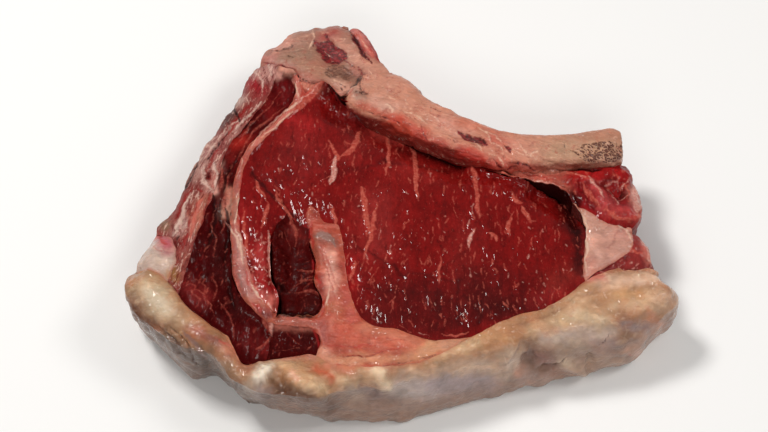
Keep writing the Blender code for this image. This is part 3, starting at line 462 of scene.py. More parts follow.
        (CREAM, 0.4, 0.3, 99, 5, 101, 3, 101, 0), (CREAM, 0.4, 0.3, 103.4, 9, 104, 6),
        (SALMON, 0.5, 0.3, 106, 7, 109, 3, 108, -1), (CREAM, 0.8, 0.3, 103, -1, 109, 0.6),
        (CREAM, 0.3, 0.3, 98, 7, 101, 9, 104, 8), (CREAM, 0.35, 0.3, 105, 5, 108, 7, 108.6, 10),
        (CREAM, 0.3, 0.3, 101, 1, 104, -2, 103, -5), (CLEFT_SHADE, 0.8, -0.6, 98, 4, 99.4, 0),
        (SALMON, 0.6, 0.4, 80, 13, 86, 12, 90, 9), (CREAM, 0.4, 0.3, 84, 12, 89, 10.6),
        (SALMON, 1.0, 0.4, 96, -8, 103, -12, 110, -13),
    ),
    ("fascia_flap",): (
        (CREAM, 0.8, 0.7, 83, -5, 86, -12, 86.6, -22, 86, -32, 84.6, -42),
        (CREAM, 0.5, 0.4, 100, -16, 106, -20, 109, -26),
    ),
    ("tail_meat",): (
        (CREAM, 0.8, 0.3, 92, -41, 96, -43), (SALMON, 0.8, 0.3, 103, -33, 108, -30, 112, -32),
        (CREAM, 1.4, 0.3, 112.6, -22, 115.4, -30, 116, -38),
    ),
    ("fat_cap",): (
        (CLEFT_SHADE, 0.25, -0.8, -106, -70, -100, -76, -96, -84, -92, -90),
        (CLEFT_SHADE, 0.2, -0.6, -112, -70, -104, -78, -98, -86), (CLEFT_SHADE, 0.2, -0.6, -92, -80, -88, -86, -82, -92),
        (GREY, 1.0, -0.4, -100, -72, -94, -80, -88, -88), (GREY, 0.7, -0.4, -108, -74, -102, -82),
        (SALMON, 0.4, 0.0, -84, -78, -76, -82, -73, -88), (RED, 0.5, 0.0, -86, -76, -80, -80),
        (GREY, 0.3, -0.4, 44, -90, 50, -84, 54, -78), (GREY, 0.3, -0.4, 52, -90, 60, -84, 68, -82),
        (CLEFT_SHADE, 0.2, -0.5, 88, -80, 92, -77.6, 94, -74), (SALMON, 0.4, 0.0, 40, -88, 46, -86),
        (CREAM, 0.6, 0.3, 46, -90, 44, -84), (CREAM, 0.5, 0.3, 78, -71, 86, -70),
        (RED, 0.8, 0.0, -82, -79, -78.6, -79.4), (RED, 0.5, 0.0, -35, -94, -33, -95),
        (RED, 0.6, 0.0, 101, -84, 103, -86), (CLEFT_SHADE, 0.4, -1.0, 62, -91, 70, -88, 75, -85.4),
        (CREAM, 0.7, 0.3, 92, -53, 94, -56),
    ),
}

# Flecks: the piece, their kind and number, the box that they are strewn over, their length and half width,
# and how far they lean to the right, in degrees.
FLECKS = (
    ("eye_muscle", SALMON, 620, (-60, -70, 84, 55), 3.4, 0.2, -4),
    # The cream flecks on the eye muscle are pale fat flecks that also stand in for glints of the wet film:
    # partly painted highlights.
    ("eye_muscle", CREAM, 34, (55, -62, 80, -5), 1.5, 0.2, -4),
    ("eye_muscle", CREAM, 90, (-60, -70, 60, 60), 1.5, 0.18, -4),
    ("side_muscle", SALMON, 70, (-78, -50, -50, 20), 2.6, 0.28, 4),
    ("side_muscle", CREAM, 70, (-72, -66, -58, -20), 1.4, 0.3, 10),
    ("outer_muscle", SALMON, 110, (-100, -85, -60, 60), 3.0, 0.28, 20),
    ("inner_muscle", SALMON, 40, (-60, -66, -36, -14), 2.2, 0.26, 10),
    ("lower_muscle", SALMON, 20, (-60, -86, -38, -66), 1.8, 0.26, 30),
    ("intercostal_meat", SALMON, 70, (60, -15, 112, 18), 2.6, 0.4, -25),
    ("tail_meat", CREAM, 40, (95, -42, 117, -22), 1.8, 0.3, 40),
)

# Patches of another ground colour, among them painted shade and a painted highlight: from X and Y to X and Y,
# how wide, the colour as on a screen, and how strong it is in the middle.
PATCHES = {
    "eye_muscle": (
        (-45, 20, -50, 34, 9, (132, 31, 30), 0.7), (-20, 36, -26, 24, 7, (130, 34, 31), 0.6),
        (-14, -4, -12, -26, 9, (142, 40, 37), 0.7), (-18, 24, 4, 27, 5, (88, 14, 13), 0.45),
        (-50, 67, -43, 63, 3.2, (196, 122, 102), 0.95), (-50, 60, -45, 57, 2.4, (150, 28, 28), 0.9),
        # The near-black patch from (-34, 62) to (-20, 48), and the dark ones below it from (-30, 48) and (-34,
        # 44), are painted shade at the rib's left end.
        (30, -20, 28, -44, 9, (120, 26, 24), 0.6), (-34, 62, -20, 48, 3.4, (44, 8, 8), 0.9),
        (-30, 48, -18, 40, 4, (92, 14, 14), 0.7), (-34, 44, -22, 36, 6, (84, 13, 13), 0.6),
        # The near-black strip from (8, 30) to (40, 18) is painted shadow under the rib's lower edge.
        (8, 30, 40, 18, 5, (36, 5, 5), 0.9), (-12, 39, -2, 35, 4, (168, 60, 52), 0.85),
        # The near-black patches from (71, 1), (40, 13) and (78, -8) are painted shade along the trench under
        # the rib and by the flap.
        (71, 1, 80, -4, 3.2, (22, 4, 4), 0.97), (56, 8, 66, 4, 3, (104, 26, 22), 0.8),
        (40, 13, 60, 8, 2.4, (48, 7, 7), 0.8), (78, -8, 82, -20, 4.5, (26, 4, 4), 0.9),
        # The thin dark bands down the lower eye, from (27, -48), (36, -50), (46, -40), (56, -42), (16, -52),
        # (64, -34), (2, -56) and (31, -56), and the faint ones from (20, 2) and (42, -6), are painted shade in
        # its grooves.
        (-4, -52, 26, -62, 10, (78, 12, 12), 0.8), (27, -48, 26, -70, 1.3, (46, 6, 7), 0.6),
        (36, -50, 35, -70, 1.6, (44, 6, 7), 0.6), (46, -40, 45, -64, 1.3, (52, 7, 8), 0.5),
        (56, -42, 55, -62, 1.2, (50, 7, 8), 0.5), (16, -52, 15, -72, 1.2, (48, 6, 7), 0.5),
        (64, -34, 63, -54, 1.0, (58, 8, 8), 0.4), (2, -56, 2, -72, 1.0, (50, 7, 8), 0.4),
        (60, -58, 72, -52, 4, (142, 34, 34), 0.6), (20, 2, 18, -30, 1.0, (84, 12, 12), 0.4),
        (42, -6, 41, -30, 1.0, (80, 12, 12), 0.4), (34, -48, 46, -58, 9, (76, 12, 12), 0.8),
        # The dark strip from (82, -20) to (83, -42) is painted shade beside the flap.
        (82, -20, 83, -42, 3, (44, 7, 7), 0.85), (70, -48, 78, -44, 6, (122, 34, 28), 0.7),
        (0, 16, 16, 12, 7, (140, 34, 30), 0.45), (-14, -64, 22, -72, 8, (64, 10, 10), 0.6),
        (38, -58, 58, -62, 8, (62, 9, 9), 0.65), (40, -44, 60, -46, 6, (84, 12, 12), 0.4),
        # The thin dark lines from (-22, -28), (2, -42), (-22, -50), (8, -46), (-38, 12) and (-8, 19) are faint
        # painted shadow lines across the eye's face.
        (-26, -34, -22, -50, 3, (150, 24, 24), 0.7), (-22, -28, 2, -42, 0.9, (66, 10, 10), 0.55),
        (2, -42, 28, -48, 0.9, (66, 10, 10), 0.5), (-22, -50, 12, -53, 0.8, (66, 10, 10), 0.45),
        (8, -46, 32, -29, 0.8, (70, 12, 11), 0.4), (-38, 12, -8, 19, 1.2, (66, 10, 10), 0.45),
        (-8, 19, 34, 13, 1.2, (66, 10, 10), 0.45), (31, -56, 36, -66, 1.6, (56, 8, 8), 0.6),
        (-72, 14, -60, -2, 1.1, (46, 7, 7), 0.8), (-60, -2, -45, -18, 1.2, (46, 7, 7), 0.8),
        (-54, 46, -44, 40, 5, (146, 28, 29), 0.7), (-58, 24, -40, 20, 6, (104, 20, 19), 0.5),
    ),
    "side_muscle": (
        (-72, -46, -67, -57, 2.6, (192, 98, 90), 0.9), (-65, -46, -61, -55, 2.4, (138, 24, 25), 0.85),
        (-66, -59, -62, -64, 2.4, (196, 106, 96), 0.9), (-62, -58, -59, -72, 3, (200, 108, 96), 0.9),
        (-67, -26, -65, -42, 3, (164, 52, 50), 0.7), (-66, 24, -64, 12, 5, (104, 22, 22), 0.6),
        (-76, -6, -72, -30, 3, (136, 22, 22), 0.7), (-72, 14, -60, -2, 1.1, (46, 7, 7), 0.8),
        (-60, -2, -45, -18, 1.2, (46, 7, 7), 0.8),
    ),
    "outer_muscle": (
        (-60, 77, -54, 75.6, 3.4, (198, 138, 120), 1.0), (-64, 74, -62, 70, 2, (190, 136, 124), 0.9),
        (-59, 66, -57, 56, 4, (96, 14, 16), 0.8), (-66, 54, -64, 46, 5, (112, 22, 22), 0.8),
        (-86, 30, -78, 33, 5, (146, 32, 26), 0.85), (-84, 22, -80, 20, 4, (112, 24, 22), 0.7),
        (-98, -50, -93, -56, 5, (112, 30, 29), 0.75), (-89, 14, -88, 6, 2.2, (186, 108, 96), 0.9),
        (-83, 4, -83, -12, 2.6, (178, 126, 108), 0.9), (-90, 18, -90, 2, 2.4, (206, 148, 134), 0.9),
        (-85.6, 20, -85.8, -1, 1.8, (74, 16, 15), 0.95), (-88, -24, -84, -44, 5, (54, 11, 11), 0.8),
        (-78, -56, -76, -64, 4, (52, 10, 10), 0.8), (-70, -76, -62, -84, 5, (96, 20, 20), 0.7),
    ),
    "side_rim": (
        (-66, 77, -70, 70, 6, (192, 140, 130), 0.9), (-75, 67, -71, 62, 4.4, (150, 26, 34), 1.0),
        # The dark patch from (-84, 48) to (-88, 42) is painted shade in a cleft.
        (-80, 56, -82, 54, 3, (190, 160, 150), 0.8), (-84, 48, -88, 42, 3.5, (70, 44, 40), 0.8),
        (-80, 40, -84, 34, 3, (186, 130, 120), 0.7), (-90, 30, -94, 26, 3, (186, 130, 124), 0.7),
        (-96, 20, -102, 8, 4, (178, 140, 128), 0.7), (-93, 16, -92, 6, 4.5, (204, 150, 138), 0.9),
        (-93, 13, -93, 10, 2.2, (84, 20, 20), 1.0), (-100, 4, -96, 6, 3, (120, 44, 40), 0.7),
        (-94, -4, -99, -16, 4, (196, 120, 98), 0.8), (-103, -14, -106, -20, 3, (190, 150, 140), 0.8),
        (-103, -26, -106, -24, 2, (110, 40, 36), 0.7), (-89, 14, -89, 6, 2.6, (188, 112, 100), 0.8),
        (-85.6, 20, -85.8, -1, 1.8, (74, 16, 15), 0.95), (-114, -14, -112, -16, 3, (128, 100, 76), 0.9),
        (-101, -34, -102, -44, 3, (150, 80, 68), 0.8), (-107, -42, -106, -46, 2.5, (160, 112, 66), 0.9),
    ),
    "backstrap_tendon": (
        (-114, -22, -110, -28, 4.6, (172, 62, 78), 0.9), (-109, -44, -108, -46, 3, (166, 116, 70), 0.8),
    ),
    "seam_fat": (
        (4, -84, 26, -80, 4.0, (204, 146, 104), 0.95), (10, -79, 32, -77, 3, (208, 152, 114), 0.85),
        (-42, -8, -30, -12, 5, (128, 36, 32), 0.85), (-42, -22, -41, -34, 3, (150, 78, 60), 0.8),
        (-38, -22, -32, -26, 3, (136, 82, 70), 0.7), (-34, -32, -32, -52, 3.2, (204, 140, 122), 0.95),
        (-39, -46, -37, -56, 2.2, (138, 54, 46), 0.85), (-26, -38, -25, -50, 2.4, (158, 44, 38), 0.7),
        (-26, -54, -22, -66, 2.2, (182, 86, 76), 0.7), (-30, -58, -33, -70, 2.2, (192, 108, 90), 0.6),
        (-38, -68, -37, -77, 3, (142, 60, 52), 0.7), (-22, -78, 0, -81, 4.5, (190, 92, 70), 0.8),
        (-16, -72, 4, -76, 3.4, (198, 118, 92), 0.8), (-36, -88, 0, -87.6, 3, (200, 134, 100), 0.85),
        (2, -84, 28, -80, 2.6, (196, 136, 104), 0.85), (-58, -87, -38, -84, 2.6, (190, 128, 108), 0.9),
        (-8, -84, 2, -82, 3, (164, 76, 54), 0.7), (20, -80, 26, -79, 3, (196, 138, 112), 0.7),
        (32, -77, 40, -76, 4, (176, 100, 70), 0.8), (-40, -86, -20, -89, 3, (190, 126, 98), 0.7),
        (-56, -67, -42, -70, 3, (150, 84, 72), 0.8), (-58, -63.4, -43, -64.4, 1.3, (66, 16, 15), 0.85),
    ),
    "seam_strip": (
        (-52, 70, -52, 60, 4, (176, 98, 88), 0.8), (-58, 46, -70, 33, 5, (176, 86, 76), 0.8),
        (-80, 6, -80, -14, 3, (156, 100, 84), 0.8), (-77, -22, -75, -36, 4, (184, 124, 114), 0.8),
        (-76, -42, -70, -54, 3.4, (176, 116, 108), 0.85), (-76, -58, -68, -64, 3.2, (84, 14, 15), 0.95),
        (-66, -63, -62, -67, 3, (96, 22, 22), 0.95), (-79, 20, -78, 4, 3, (146, 60, 52), 0.7),
        (-66, 40, -74, 26, 1.6, (196, 118, 104), 0.6),
    ),
    "inner_muscle": (
        # The near-black strip from (-57, -50) to (-56.6, -62) is painted shadow in the slit under the side
        # muscle's cliff.
        (-57, -50, -56.6, -62, 1.5, (30, 6, 6), 0.85), (-44, -58, -40, -64, 4, (60, 14, 13), 0.7),
        (-52, -20, -44, -24, 4, (96, 26, 24), 0.7),
    ),
    "lower_muscle": ((-57, -71.4, -42, -72.6, 1.6, (150, 84, 72), 0.85),),
    "chine_bone": (
        (-63, 91, -55, 96, 4, (208, 142, 124), 1.0), (-70, 82, -63, 85, 3, (180, 106, 96), 0.9),
        (-60, 83, -48, 86, 5, (144, 106, 86), 0.9), (-52, 97, -48, 93, 5, (156, 112, 94), 0.8),
        (-50, 79, -40, 73, 5, (166, 120, 96), 0.8), (-48, 70, -42, 66, 5, (178, 108, 92), 0.8),
        (-34, 75, -25, 72, 4.5, (132, 92, 72), 0.85), (-24, 76, -18, 72, 4, (140, 66, 56), 0.8),
        (-42, 80, -34, 79, 3, (156, 98, 78), 0.7), (-66, 79, -58, 76, 4, (188, 132, 120), 0.8),
        (-33, 97, -26, 88, 3.6, (190, 132, 112), 0.95), (-22, 82, -8, 74, 6, (192, 132, 110), 0.9),
        (-40, 96, -34, 99, 4, (150, 52, 48), 0.8), (-24, 60, -30, 62, 3, (196, 134, 116), 0.8),
        (-34, 68, -28, 64, 3, (200, 146, 126), 0.7),
    ),
    "chine_meat": (
        (-23, 97, -15, 85, 2.6, (214, 128, 112), 0.8), (-16, 94, -9, 82, 2.4, (160, 36, 36), 0.9),
        (-18, 79, -4, 73, 5, (194, 132, 110), 0.95), (-26, 99, -18, 84, 2.4, (148, 32, 32), 0.9),
        (-14, 89, -8, 78, 3, (176, 46, 40), 0.85), (-20, 101, -16, 95, 2.4, (178, 54, 48), 0.8),
    ),
    "rib_bone": (
        (-26, 68, -20, 60, 4, (176, 140, 122), 0.8), (-21, 63, -17, 60, 2.6, (130, 92, 78), 0.8),
        (-26, 71, -6, 64, 6, (184, 126, 106), 0.75), (-12, 56, -4, 52, 4, (202, 150, 132), 0.8),
        (-16, 66, 10, 56, 5, (190, 128, 104), 0.7), (-20, 54, -6, 46, 2.6, (176, 76, 56), 0.85),
        (-4, 43, 10, 36, 4, (188, 60, 40), 0.9), (8, 36, 22, 29, 3.4, (176, 62, 52), 0.85),
        (20, 44, 30, 40, 5, (200, 136, 118), 0.8), (22, 27, 28, 24, 2.6, (130, 38, 30), 0.8),
        (31, 24, 46, 16, 4.4, (184, 46, 36), 0.9), (30, 44, 46, 38, 3, (192, 108, 84), 0.8),
        (44, 32, 54, 29, 4, (192, 92, 76), 0.8), (56, 29, 68, 26, 5, (206, 140, 118), 0.8),
        (48, 18, 64, 14, 4, (196, 86, 70), 0.9), (66, 14, 78, 14, 3, (190, 110, 92), 0.8),
        (76, 27, 110, 27, 10, (178, 137, 110), 0.95), (88, 25, 106, 26, 5, (184, 136, 108), 0.85),
        (102, 27, 107, 27, 2.4, (140, 96, 76), 0.6), (88, 34, 106, 35, 2.5, (170, 116, 92), 0.8),
        (92, 19, 108, 20, 2.2, (196, 152, 130), 0.8),
    ),
    "intercostal_meat": (
        # The dark patches from (80, 1.5) to (84, -5) and from (78, 5) to (84, -3) are painted shade where the
        # trench ends.
        (98, 15, 108, 13, 3.6, (146, 20, 22), 0.85), (80, 1.5, 84, -5, 2, (46, 8, 8), 0.85),
        (92, 8, 97, -4, 3, (184, 74, 74), 0.7), (82, 8, 90, -6, 3.4, (128, 14, 20), 0.85),
        (87, 1, 92, -8, 1.6, (84, 10, 14), 0.8), (99, 9, 105, 3, 4.4, (66, 14, 12), 0.95),
        (70, 11, 76, 6, 3.4, (104, 18, 18), 0.8), (78, 5, 84, -3, 2.6, (58, 8, 10), 0.85),
        (86, 13, 95, 12, 3, (170, 28, 30), 0.8), (96, -7, 108, -9, 3, (196, 84, 84), 0.7),
        (101, -3, 108, -6, 3, (112, 32, 36), 0.85), (80, 8, 86, 12, 3, (156, 30, 28), 0.7),
        (98, -8, 108, -12, 4, (170, 56, 54), 0.8), (112, 4, 113, -6, 2.5, (206, 146, 132), 0.95),
        (113, -12, 115, -12, 2.5, (198, 108, 92), 0.95), (50, 12, 76, 6, 4, (182, 96, 80), 0.85),
        (56, 16, 76, 15, 3, (196, 124, 104), 0.85),
    ),
    "fascia_flap": (
        (90, -30, 92, -14, 5, (194, 142, 124), 0.7), (104, -20, 107, -24, 3, (206, 142, 128), 0.7),
        (86, -36, 87, -42, 3, (184, 122, 106), 0.7), (97, -30, 101, -20, 0.8, (150, 92, 80), 0.6),
        (87, -20, 92, -36, 2, (206, 158, 142), 0.6),
    ),
    "tail_meat": (
        (114, -26, 116, -36, 2.5, (196, 112, 98), 0.8),
    ),
    "fat_cap": (
        (-119, -43, -125, -52, 4, (160, 122, 84), 0.8), (-118, -47, -110, -58, 4, (214, 188, 152), 0.7),
        (-110, -62, -98, -70, 4, (196, 158, 122), 0.7), (-62, -87, -40, -86, 2.2, (188, 122, 102), 0.9),
        (-34, -90, -6, -90.6, 2.4, (196, 112, 84), 0.8), (0, -89, 26, -84.6, 2, (200, 128, 94), 0.7),
        (-116, -55, -109, -62, 5, (192, 172, 146), 0.9), (-94, -73, -84, -80, 4, (150, 76, 56), 0.9),
        (-80, -82, -77, -86, 3, (184, 108, 84), 0.8), (-78, -92, -74, -98, 4, (168, 126, 94), 0.8),
        (-72, -90, -68, -92, 3, (170, 106, 80), 0.8), (-60, -89, -50, -93, 3, (214, 178, 140), 0.8),
        (-65, -98, -61, -92, 3.4, (234, 218, 198), 1.0), (-64, -102, -60, -104, 2.4, (150, 130, 126), 0.9),
        # The brown patch from (-58, -99) to (-52, -105) is painted shadow in a hollow between the lobes.
        (-58, -99, -52, -105, 3.2, (118, 86, 64), 0.95), (-71, -101, -69, -103, 2.2, (214, 196, 176), 0.9),
        (-52, -94, -44, -99, 4, (206, 150, 108), 0.8), (-46, -100, -36, -104, 3.4, (228, 190, 148), 0.9),
        # The pale patch from (-50, -95) to (-47, -99) is salmon fat under a painted white highlight.
        (-50, -95, -47, -99, 1.6, (232, 172, 142), 0.9), (-57, -92, -55, -98, 2, (160, 112, 78), 0.8),
        (-30, -96, -21, -98, 3.4, (210, 174, 136), 0.8), (-18, -93, -16, -97, 2, (184, 140, 104), 0.7),
        (4, -98, 10, -99, 2.6, (222, 196, 166), 0.7), (-8, -95, 0, -96, 3, (196, 148, 108), 0.7),
        (-39, -92, -33, -96, 3, (190, 88, 56), 0.9), (-28, -90, -22, -93, 3, (192, 112, 84), 0.7),
        (-12, -93, -6, -100, 3.2, (228, 200, 168), 0.9), (-18, -103, -11, -106, 3, (138, 114, 110), 0.85),
        (0, -98, 14, -104, 4, (188, 168, 160), 0.8), (8, -90, 16, -86, 5, (180, 132, 94), 0.7),
        (25, -84, 30, -82, 4, (198, 154, 122), 0.7), (38, -80, 52, -74, 6, (182, 124, 86), 0.8),
        (70, -66, 82, -58, 6, (196, 156, 120), 0.7), (52, -69, 70, -62, 0.8, (146, 96, 66), 0.6),
        (70, -62, 90, -53, 0.7, (146, 96, 66), 0.5), (78, -66, 90, -68, 5, (216, 186, 152), 0.8),
        (60, -72, 72, -70, 4, (208, 172, 134), 0.7), (98, -60, 112, -60, 4, (208, 176, 144), 0.7),
        (86, -78, 94, -78, 3.4, (160, 132, 126), 0.8), (70, -78, 80, -80, 4, (186, 160, 140), 0.7),
        (44, -86, 54, -82, 3, (206, 176, 150), 0.7), (26, -93, 36, -90, 3.4, (206, 180, 158), 0.7),
        (114, -62, 120, -58, 3, (198, 164, 134), 0.7), (92, -47, 116, -45, 4, (220, 180, 154), 0.85),
        (86, -45, 93, -46, 2, (212, 118, 104), 0.9), (98, -54, 120, -56, 4, (200, 150, 104), 0.7),
        (100, -70, 112, -70, 3, (150, 126, 124), 0.8), (113, -64, 117, -71, 3, (196, 128, 94), 0.8),
        (101, -82, 109, -86, 3, (198, 150, 126), 0.8), (64, -77, 94, -73, 3.4, (196, 172, 158), 0.8),
        (62, -86, 68, -91, 2.6, (170, 112, 104), 0.8), (73, -87, 80, -94, 3, (210, 184, 158), 0.85),
        (51, -92, 57, -98, 2.6, (204, 146, 120), 0.8), (84, -89, 94, -90, 3, (184, 146, 116), 0.8),
        (36, -76, 48, -78, 4, (188, 138, 96), 0.7), (14, -86, 34, -80, 3.4, (210, 172, 132), 0.7),
        (118, -56, 124, -56, 4, (204, 162, 134), 0.8), (56, -84, 66, -86, 5, (132, 94, 80), 0.7),
        (44, -94, 48, -88, 4, (198, 170, 150), 0.8), (10, -100, 36, -98, 6, (168, 148, 147), 0.9),
        (4, -94, 40, -90.5, 3, (216, 174, 142), 0.75), (-24, -102, -20, -106, 4, (176, 148, 130), 0.8),
        (-14, -106, -6, -107, 4, (126, 98, 88), 0.8), (-2, -103, 6, -104, 5, (176, 158, 150), 0.8),
        (36, -93, 42, -94, 4, (180, 150, 130), 0.8), (54, -96, 66, -97, 4, (158, 130, 118), 0.8),
        (70, -93, 96, -89, 4, (162, 130, 112), 0.8), (62, -92, 74, -94, 4, (136, 98, 80), 0.7),
        # The last four patches, dark brown along the foot of the lower wall from the left end to the middle,
        # are painted shade under the tucked-in wall.
        (106, -80, 114, -74, 4, (178, 138, 118), 0.7), (-124, -62, -112, -73, 5, (100, 60, 40), 0.95),
        (-108, -78, -84, -94, 6, (86, 62, 48), 0.95), (-78, -100, -64, -108, 5, (98, 70, 54), 0.9),
        (-56, -104, -32, -110, 5, (94, 60, 42), 0.9),
    ),
}

# Humps and hollows on the side that the camera sees: from X and Y to X and Y, how wide, and how high.
HUMPS = {
    "eye_muscle": (
        (-38, 66, -30, 57, 5, 5.0), (-31, 60, -26, 54, 3.6, 3.0), (-31, 54, -24, 46, 4, 5.0),
        (34, 11.5, 57, 4.5, 5, 7.0), (56, 7, 66, 3.5, 2.6, 2.4), (69, 1.5, 75, -1.5, 2.2, -1.6),
        (75, -1.5, 83, -14, 2.2, -1.6),
    ),
    "inner_muscle": (
        (-42, -28, -40, -60, 7, 2.0), (-56, -60, -42, -62, 5, 1.6), (-59, -18, -57, -48, 3.4, 3.2),
    ),
    "chine_meat": ((-8, 78, -4, 71, 4, -3.4),),
    "intercostal_meat": (
        (90, 10, 96, -4, 2.6, 1.8), (50, 13, 52, 11, 1.8, 1.6), (56, 14, 60, 11, 2.0, 1.4),
        (65, 11, 69, 9, 1.8, 1.2), (73, 10, 78, 6, 2.4, 1.2), (84, 10, 82, 2, 3, 1.0),
        (99, 8, 104, 1, 3.4, -2.2), (87, 8, 92, -6, 1.8, -1.2), (98, 16, 108, 14, 3, 1.2),
        (96, -8, 110, -12, 2.4, 1.0),
    ),
    "fat_cap": (
        (-94, -98, -86, -107, 6, 3.5), (-118, -52, -108, -62, 7, 0.8), (-65, -98, -61, -92, 3.4, 2.2),
        (-58, -98, -54, -104, 2.6, -2.2), (-46, -102, -38, -105, 2.6, 1.6), (-10, -94, -6, -100, 3, 1.8),
        (-17, -100, -13, -104, 2.4, -1.4), (73, -87, 80, -93, 2.6, 1.8), (82, -92, 84, -86, 1.8, -1.4),
        (56, -80, 57, -88, 2.6, -1.6), (44, -90, 47, -82, 2.6, 1.4), (86, -64, 90, -68, 3.4, 1.2),
        (96, -74, 110, -69, 2.6, -1.2), (-50, -96, -42, -99, 5, 2.0), (-56, -99, -56, -94, 2, -1.0),
        (-74, -100, -70, -92, 2.5, -0.8), (-33, -104, -29, -94, 3, -1.8), (-20, -98, -8, -99, 5, 1.0),
        (10, -93, 16, -92, 4, 0.8), (46, -94, 48, -86, 4, 1.2), (56, -90, 60, -80, 3, -1.2),
        (66, -84, 96, -78, 6, 1.0), (62, -92, 76, -86, 2, -1.6), (100, -66, 116, -62, 6, 1.0),
        (88, -88, 108, -84, 4, 0.6), (-112, -70, -100, -84, 2, -1.0), (-104, -72, -88, -88, 2, -1.0),
    ),
    "rib_bone": (
        (0, 45, 7, 39, 3.4, 1.6), (11, 38, 14, 33, 2, 1.0), (36, 38, 46, 28, 3, 0.9),
        (18, 31, 26, 27, 2.4, 1.0), (42, 19, 46, 17, 2, 1.2), (50, 17, 54, 15, 1.9, 1.6),
        (59, 17, 66, 14, 2.1, 1.6), (48, 20, 56, 19.6, 1.6, 0.8), (28, 36, 38, 32, 2, -0.8),
        (84, 25, 104, 26, 4, -0.6),
    ),
}

# Unevenness of the faces and the walls: where, how much, the size of its lumps along X, Y and Z, and layers.
BUNDLES = (4.5, 20.0, 8.0)
ROUGHNESS = {
    "eye_muscle": ((FACE, 0.12, (3, 4, 4), 2), (FACE, 0.28, BUNDLES, 1), (WALL, 0.4, (5, 5, 5), 2)),
    "side_muscle": ((FACE, 0.2, (3, 5, 4), 2), (FACE, 0.5, BUNDLES, 1)),
    "inner_muscle": ((FACE, 0.15, (3, 5, 4), 2), (FACE, 0.4, BUNDLES, 1)),
    "lower_muscle": ((FACE, 0.15, (3, 5, 4), 2), (FACE, 0.4, BUNDLES, 1)),
    "outer_muscle": ((FACE, 0.4, (2.4, 6, 4), 3), (FACE, 0.6, (6, 16, 8), 1), (WALL, 0.5, (5, 5, 5), 2)),
    "side_rim": ((FACE, 0.7, (3.0, 7, 5), 3), (WALL, 0.9, (5, 6, 5), 3)),
    "backstrap_tendon": ((FACE, 0.3, (4, 4, 4), 2), (WALL, 0.5, (6, 6, 6), 2)),
    "seam_fat": ((FACE, 0.25, (5, 4, 5), 3),),
    "seam_strip": ((FACE, 0.2, (3, 6, 5), 2),),
    "chine_bone": ((FACE, 0.3, (4, 4, 4), 3), (WALL, 0.6, (7, 7, 7), 3)),
    "chine_meat": ((FACE, 0.35, (3.5, 5, 4), 3), (WALL, 0.7, (7, 7, 7), 3)),
    "rib_bone": ((FACE, 0.45, (6, 3.4, 4), 3), (WALL, 0.75, (5, 3.4, 3.4), 3)),
    "intercostal_meat": ((FACE, 0.8, (4, 4, 4), 3), (WALL, 0.8, (7, 7, 5), 3)),
    "fascia_flap": ((FACE, 0.2, (7, 7, 7), 2), (WALL, 0.6, (7, 7, 5), 2)),
    "tail_meat": ((FACE, 0.5, (3, 3, 3), 3), (WALL, 0.7, (6, 6, 5), 3)),
    "fat_cap": ((FACE, 0.35, (9, 8, 8), 3), (WALL, 1.1, (14, 14, 11), 3), (WALL, 0.35, (5, 5, 3), 2)),
}

# ---------------------------------------------------------------- noise


def hashed(cells, seed):
    """A steady pseudo-random number from -1 to 1 for each whole-number cell."""
    mixed = np.full(cells.shape[:-1], (seed * HASH_SEED + HASH_START) & HASH_MASK, np.uint32)
    for axis, factor in zip(range(cells.shape[-1]), HASH_AXES):
        mixed = (mixed ^ (cells[..., axis].astype(np.uint32) * np.uint32(factor))) * HASH_MIX
        mixed ^= mixed >> HASH_SHIFT
    return mixed.astype(float) / (HASH_MASK / 2) - 1


def noise(points, size, seed):
    """Smooth noise from -1 to 1 at each point, with lumps of a size that may differ along each axis."""
    spots = points / size
    low = np.floor(spots).astype(np.int64)
    share = spots - low
    ease = share * share * (3 - 2 * share)
    total = np.zeros(len(points))
    for corner in itertools.product((0, 1), repeat=points.shape[1]):
        weight = np.prod(np.where(corner, ease, 1 - ease), axis=1)
        total += weight * hashed(low + np.array(corner), seed)
    return total


def layered_noise(points, size, seed, layers=3):
    """Noise with finer and weaker layers on top of it."""
    size = np.asarray(size, float)
    return sum(noise(points, size / 2**i, seed + LAYER_SEED_STEP * i) / 2**i for i in range(layers))


def warped(points, moves, seed):
    """Plan points moved a little, by noise. Each move has an amount and a size."""
    moved = points.copy()
    for amount, size in moves:
        moved[:, 0] += amount * noise(points, size, seed)
        moved[:, 1] += amount * noise(points, size, seed + 1)
        seed += 2
    return moved


def ramp(values, low, high):
    """0 below low, 1 above high and a smooth rise between; it falls where high is less than low."""
    share = np.clip((values - low) / (high - low), 0, 1)
    return share * share * (3 - 2 * share)


# ---------------------------------------------------------------- plan


def smooth_curve(points, step, closed=False):
    """Points about a step apart on a smooth curve through the given ones, which may have extra values."""
    knots = np.array(points, dtype=float)
    if closed:
        knots = np.vstack([knots[-1:], knots, knots[:2]])
    else:
        knots = np.vstack([2 * knots[0] - knots[1], knots, 2 * knots[-1] - knots[-2]])
    lengths = np.linalg.norm(np.diff(knots[:, :2], axis=0), axis=1)
    times = np.concatenate([[0.0], np.cumsum(lengths)])
    slopes = (knots[2:] - knots[:-2]) / (times[2:] - times[:-2])[:, None]
    curve = []
    for i in range(1, len(knots) - 2):
        start, end = knots[i], knots[i + 1]
        leave, arrive = slopes[i - 1] * lengths[i], slopes[i] * lengths[i]
        count = max(1, round(lengths[i] / step))
        u = (np.arange(count) / count)[:, None]
        curve.append(
            (2 * u**3 - 3 * u**2 + 1) * start
            + (u**3 - 2 * u**2 + u) * leave
            + (3 * u**2 - 2 * u**3) * end
            + (u**3 - u**2) * arrive
        )
    if not closed:
        curve.append(knots[-2:-1])
    return np.vstack(curve)


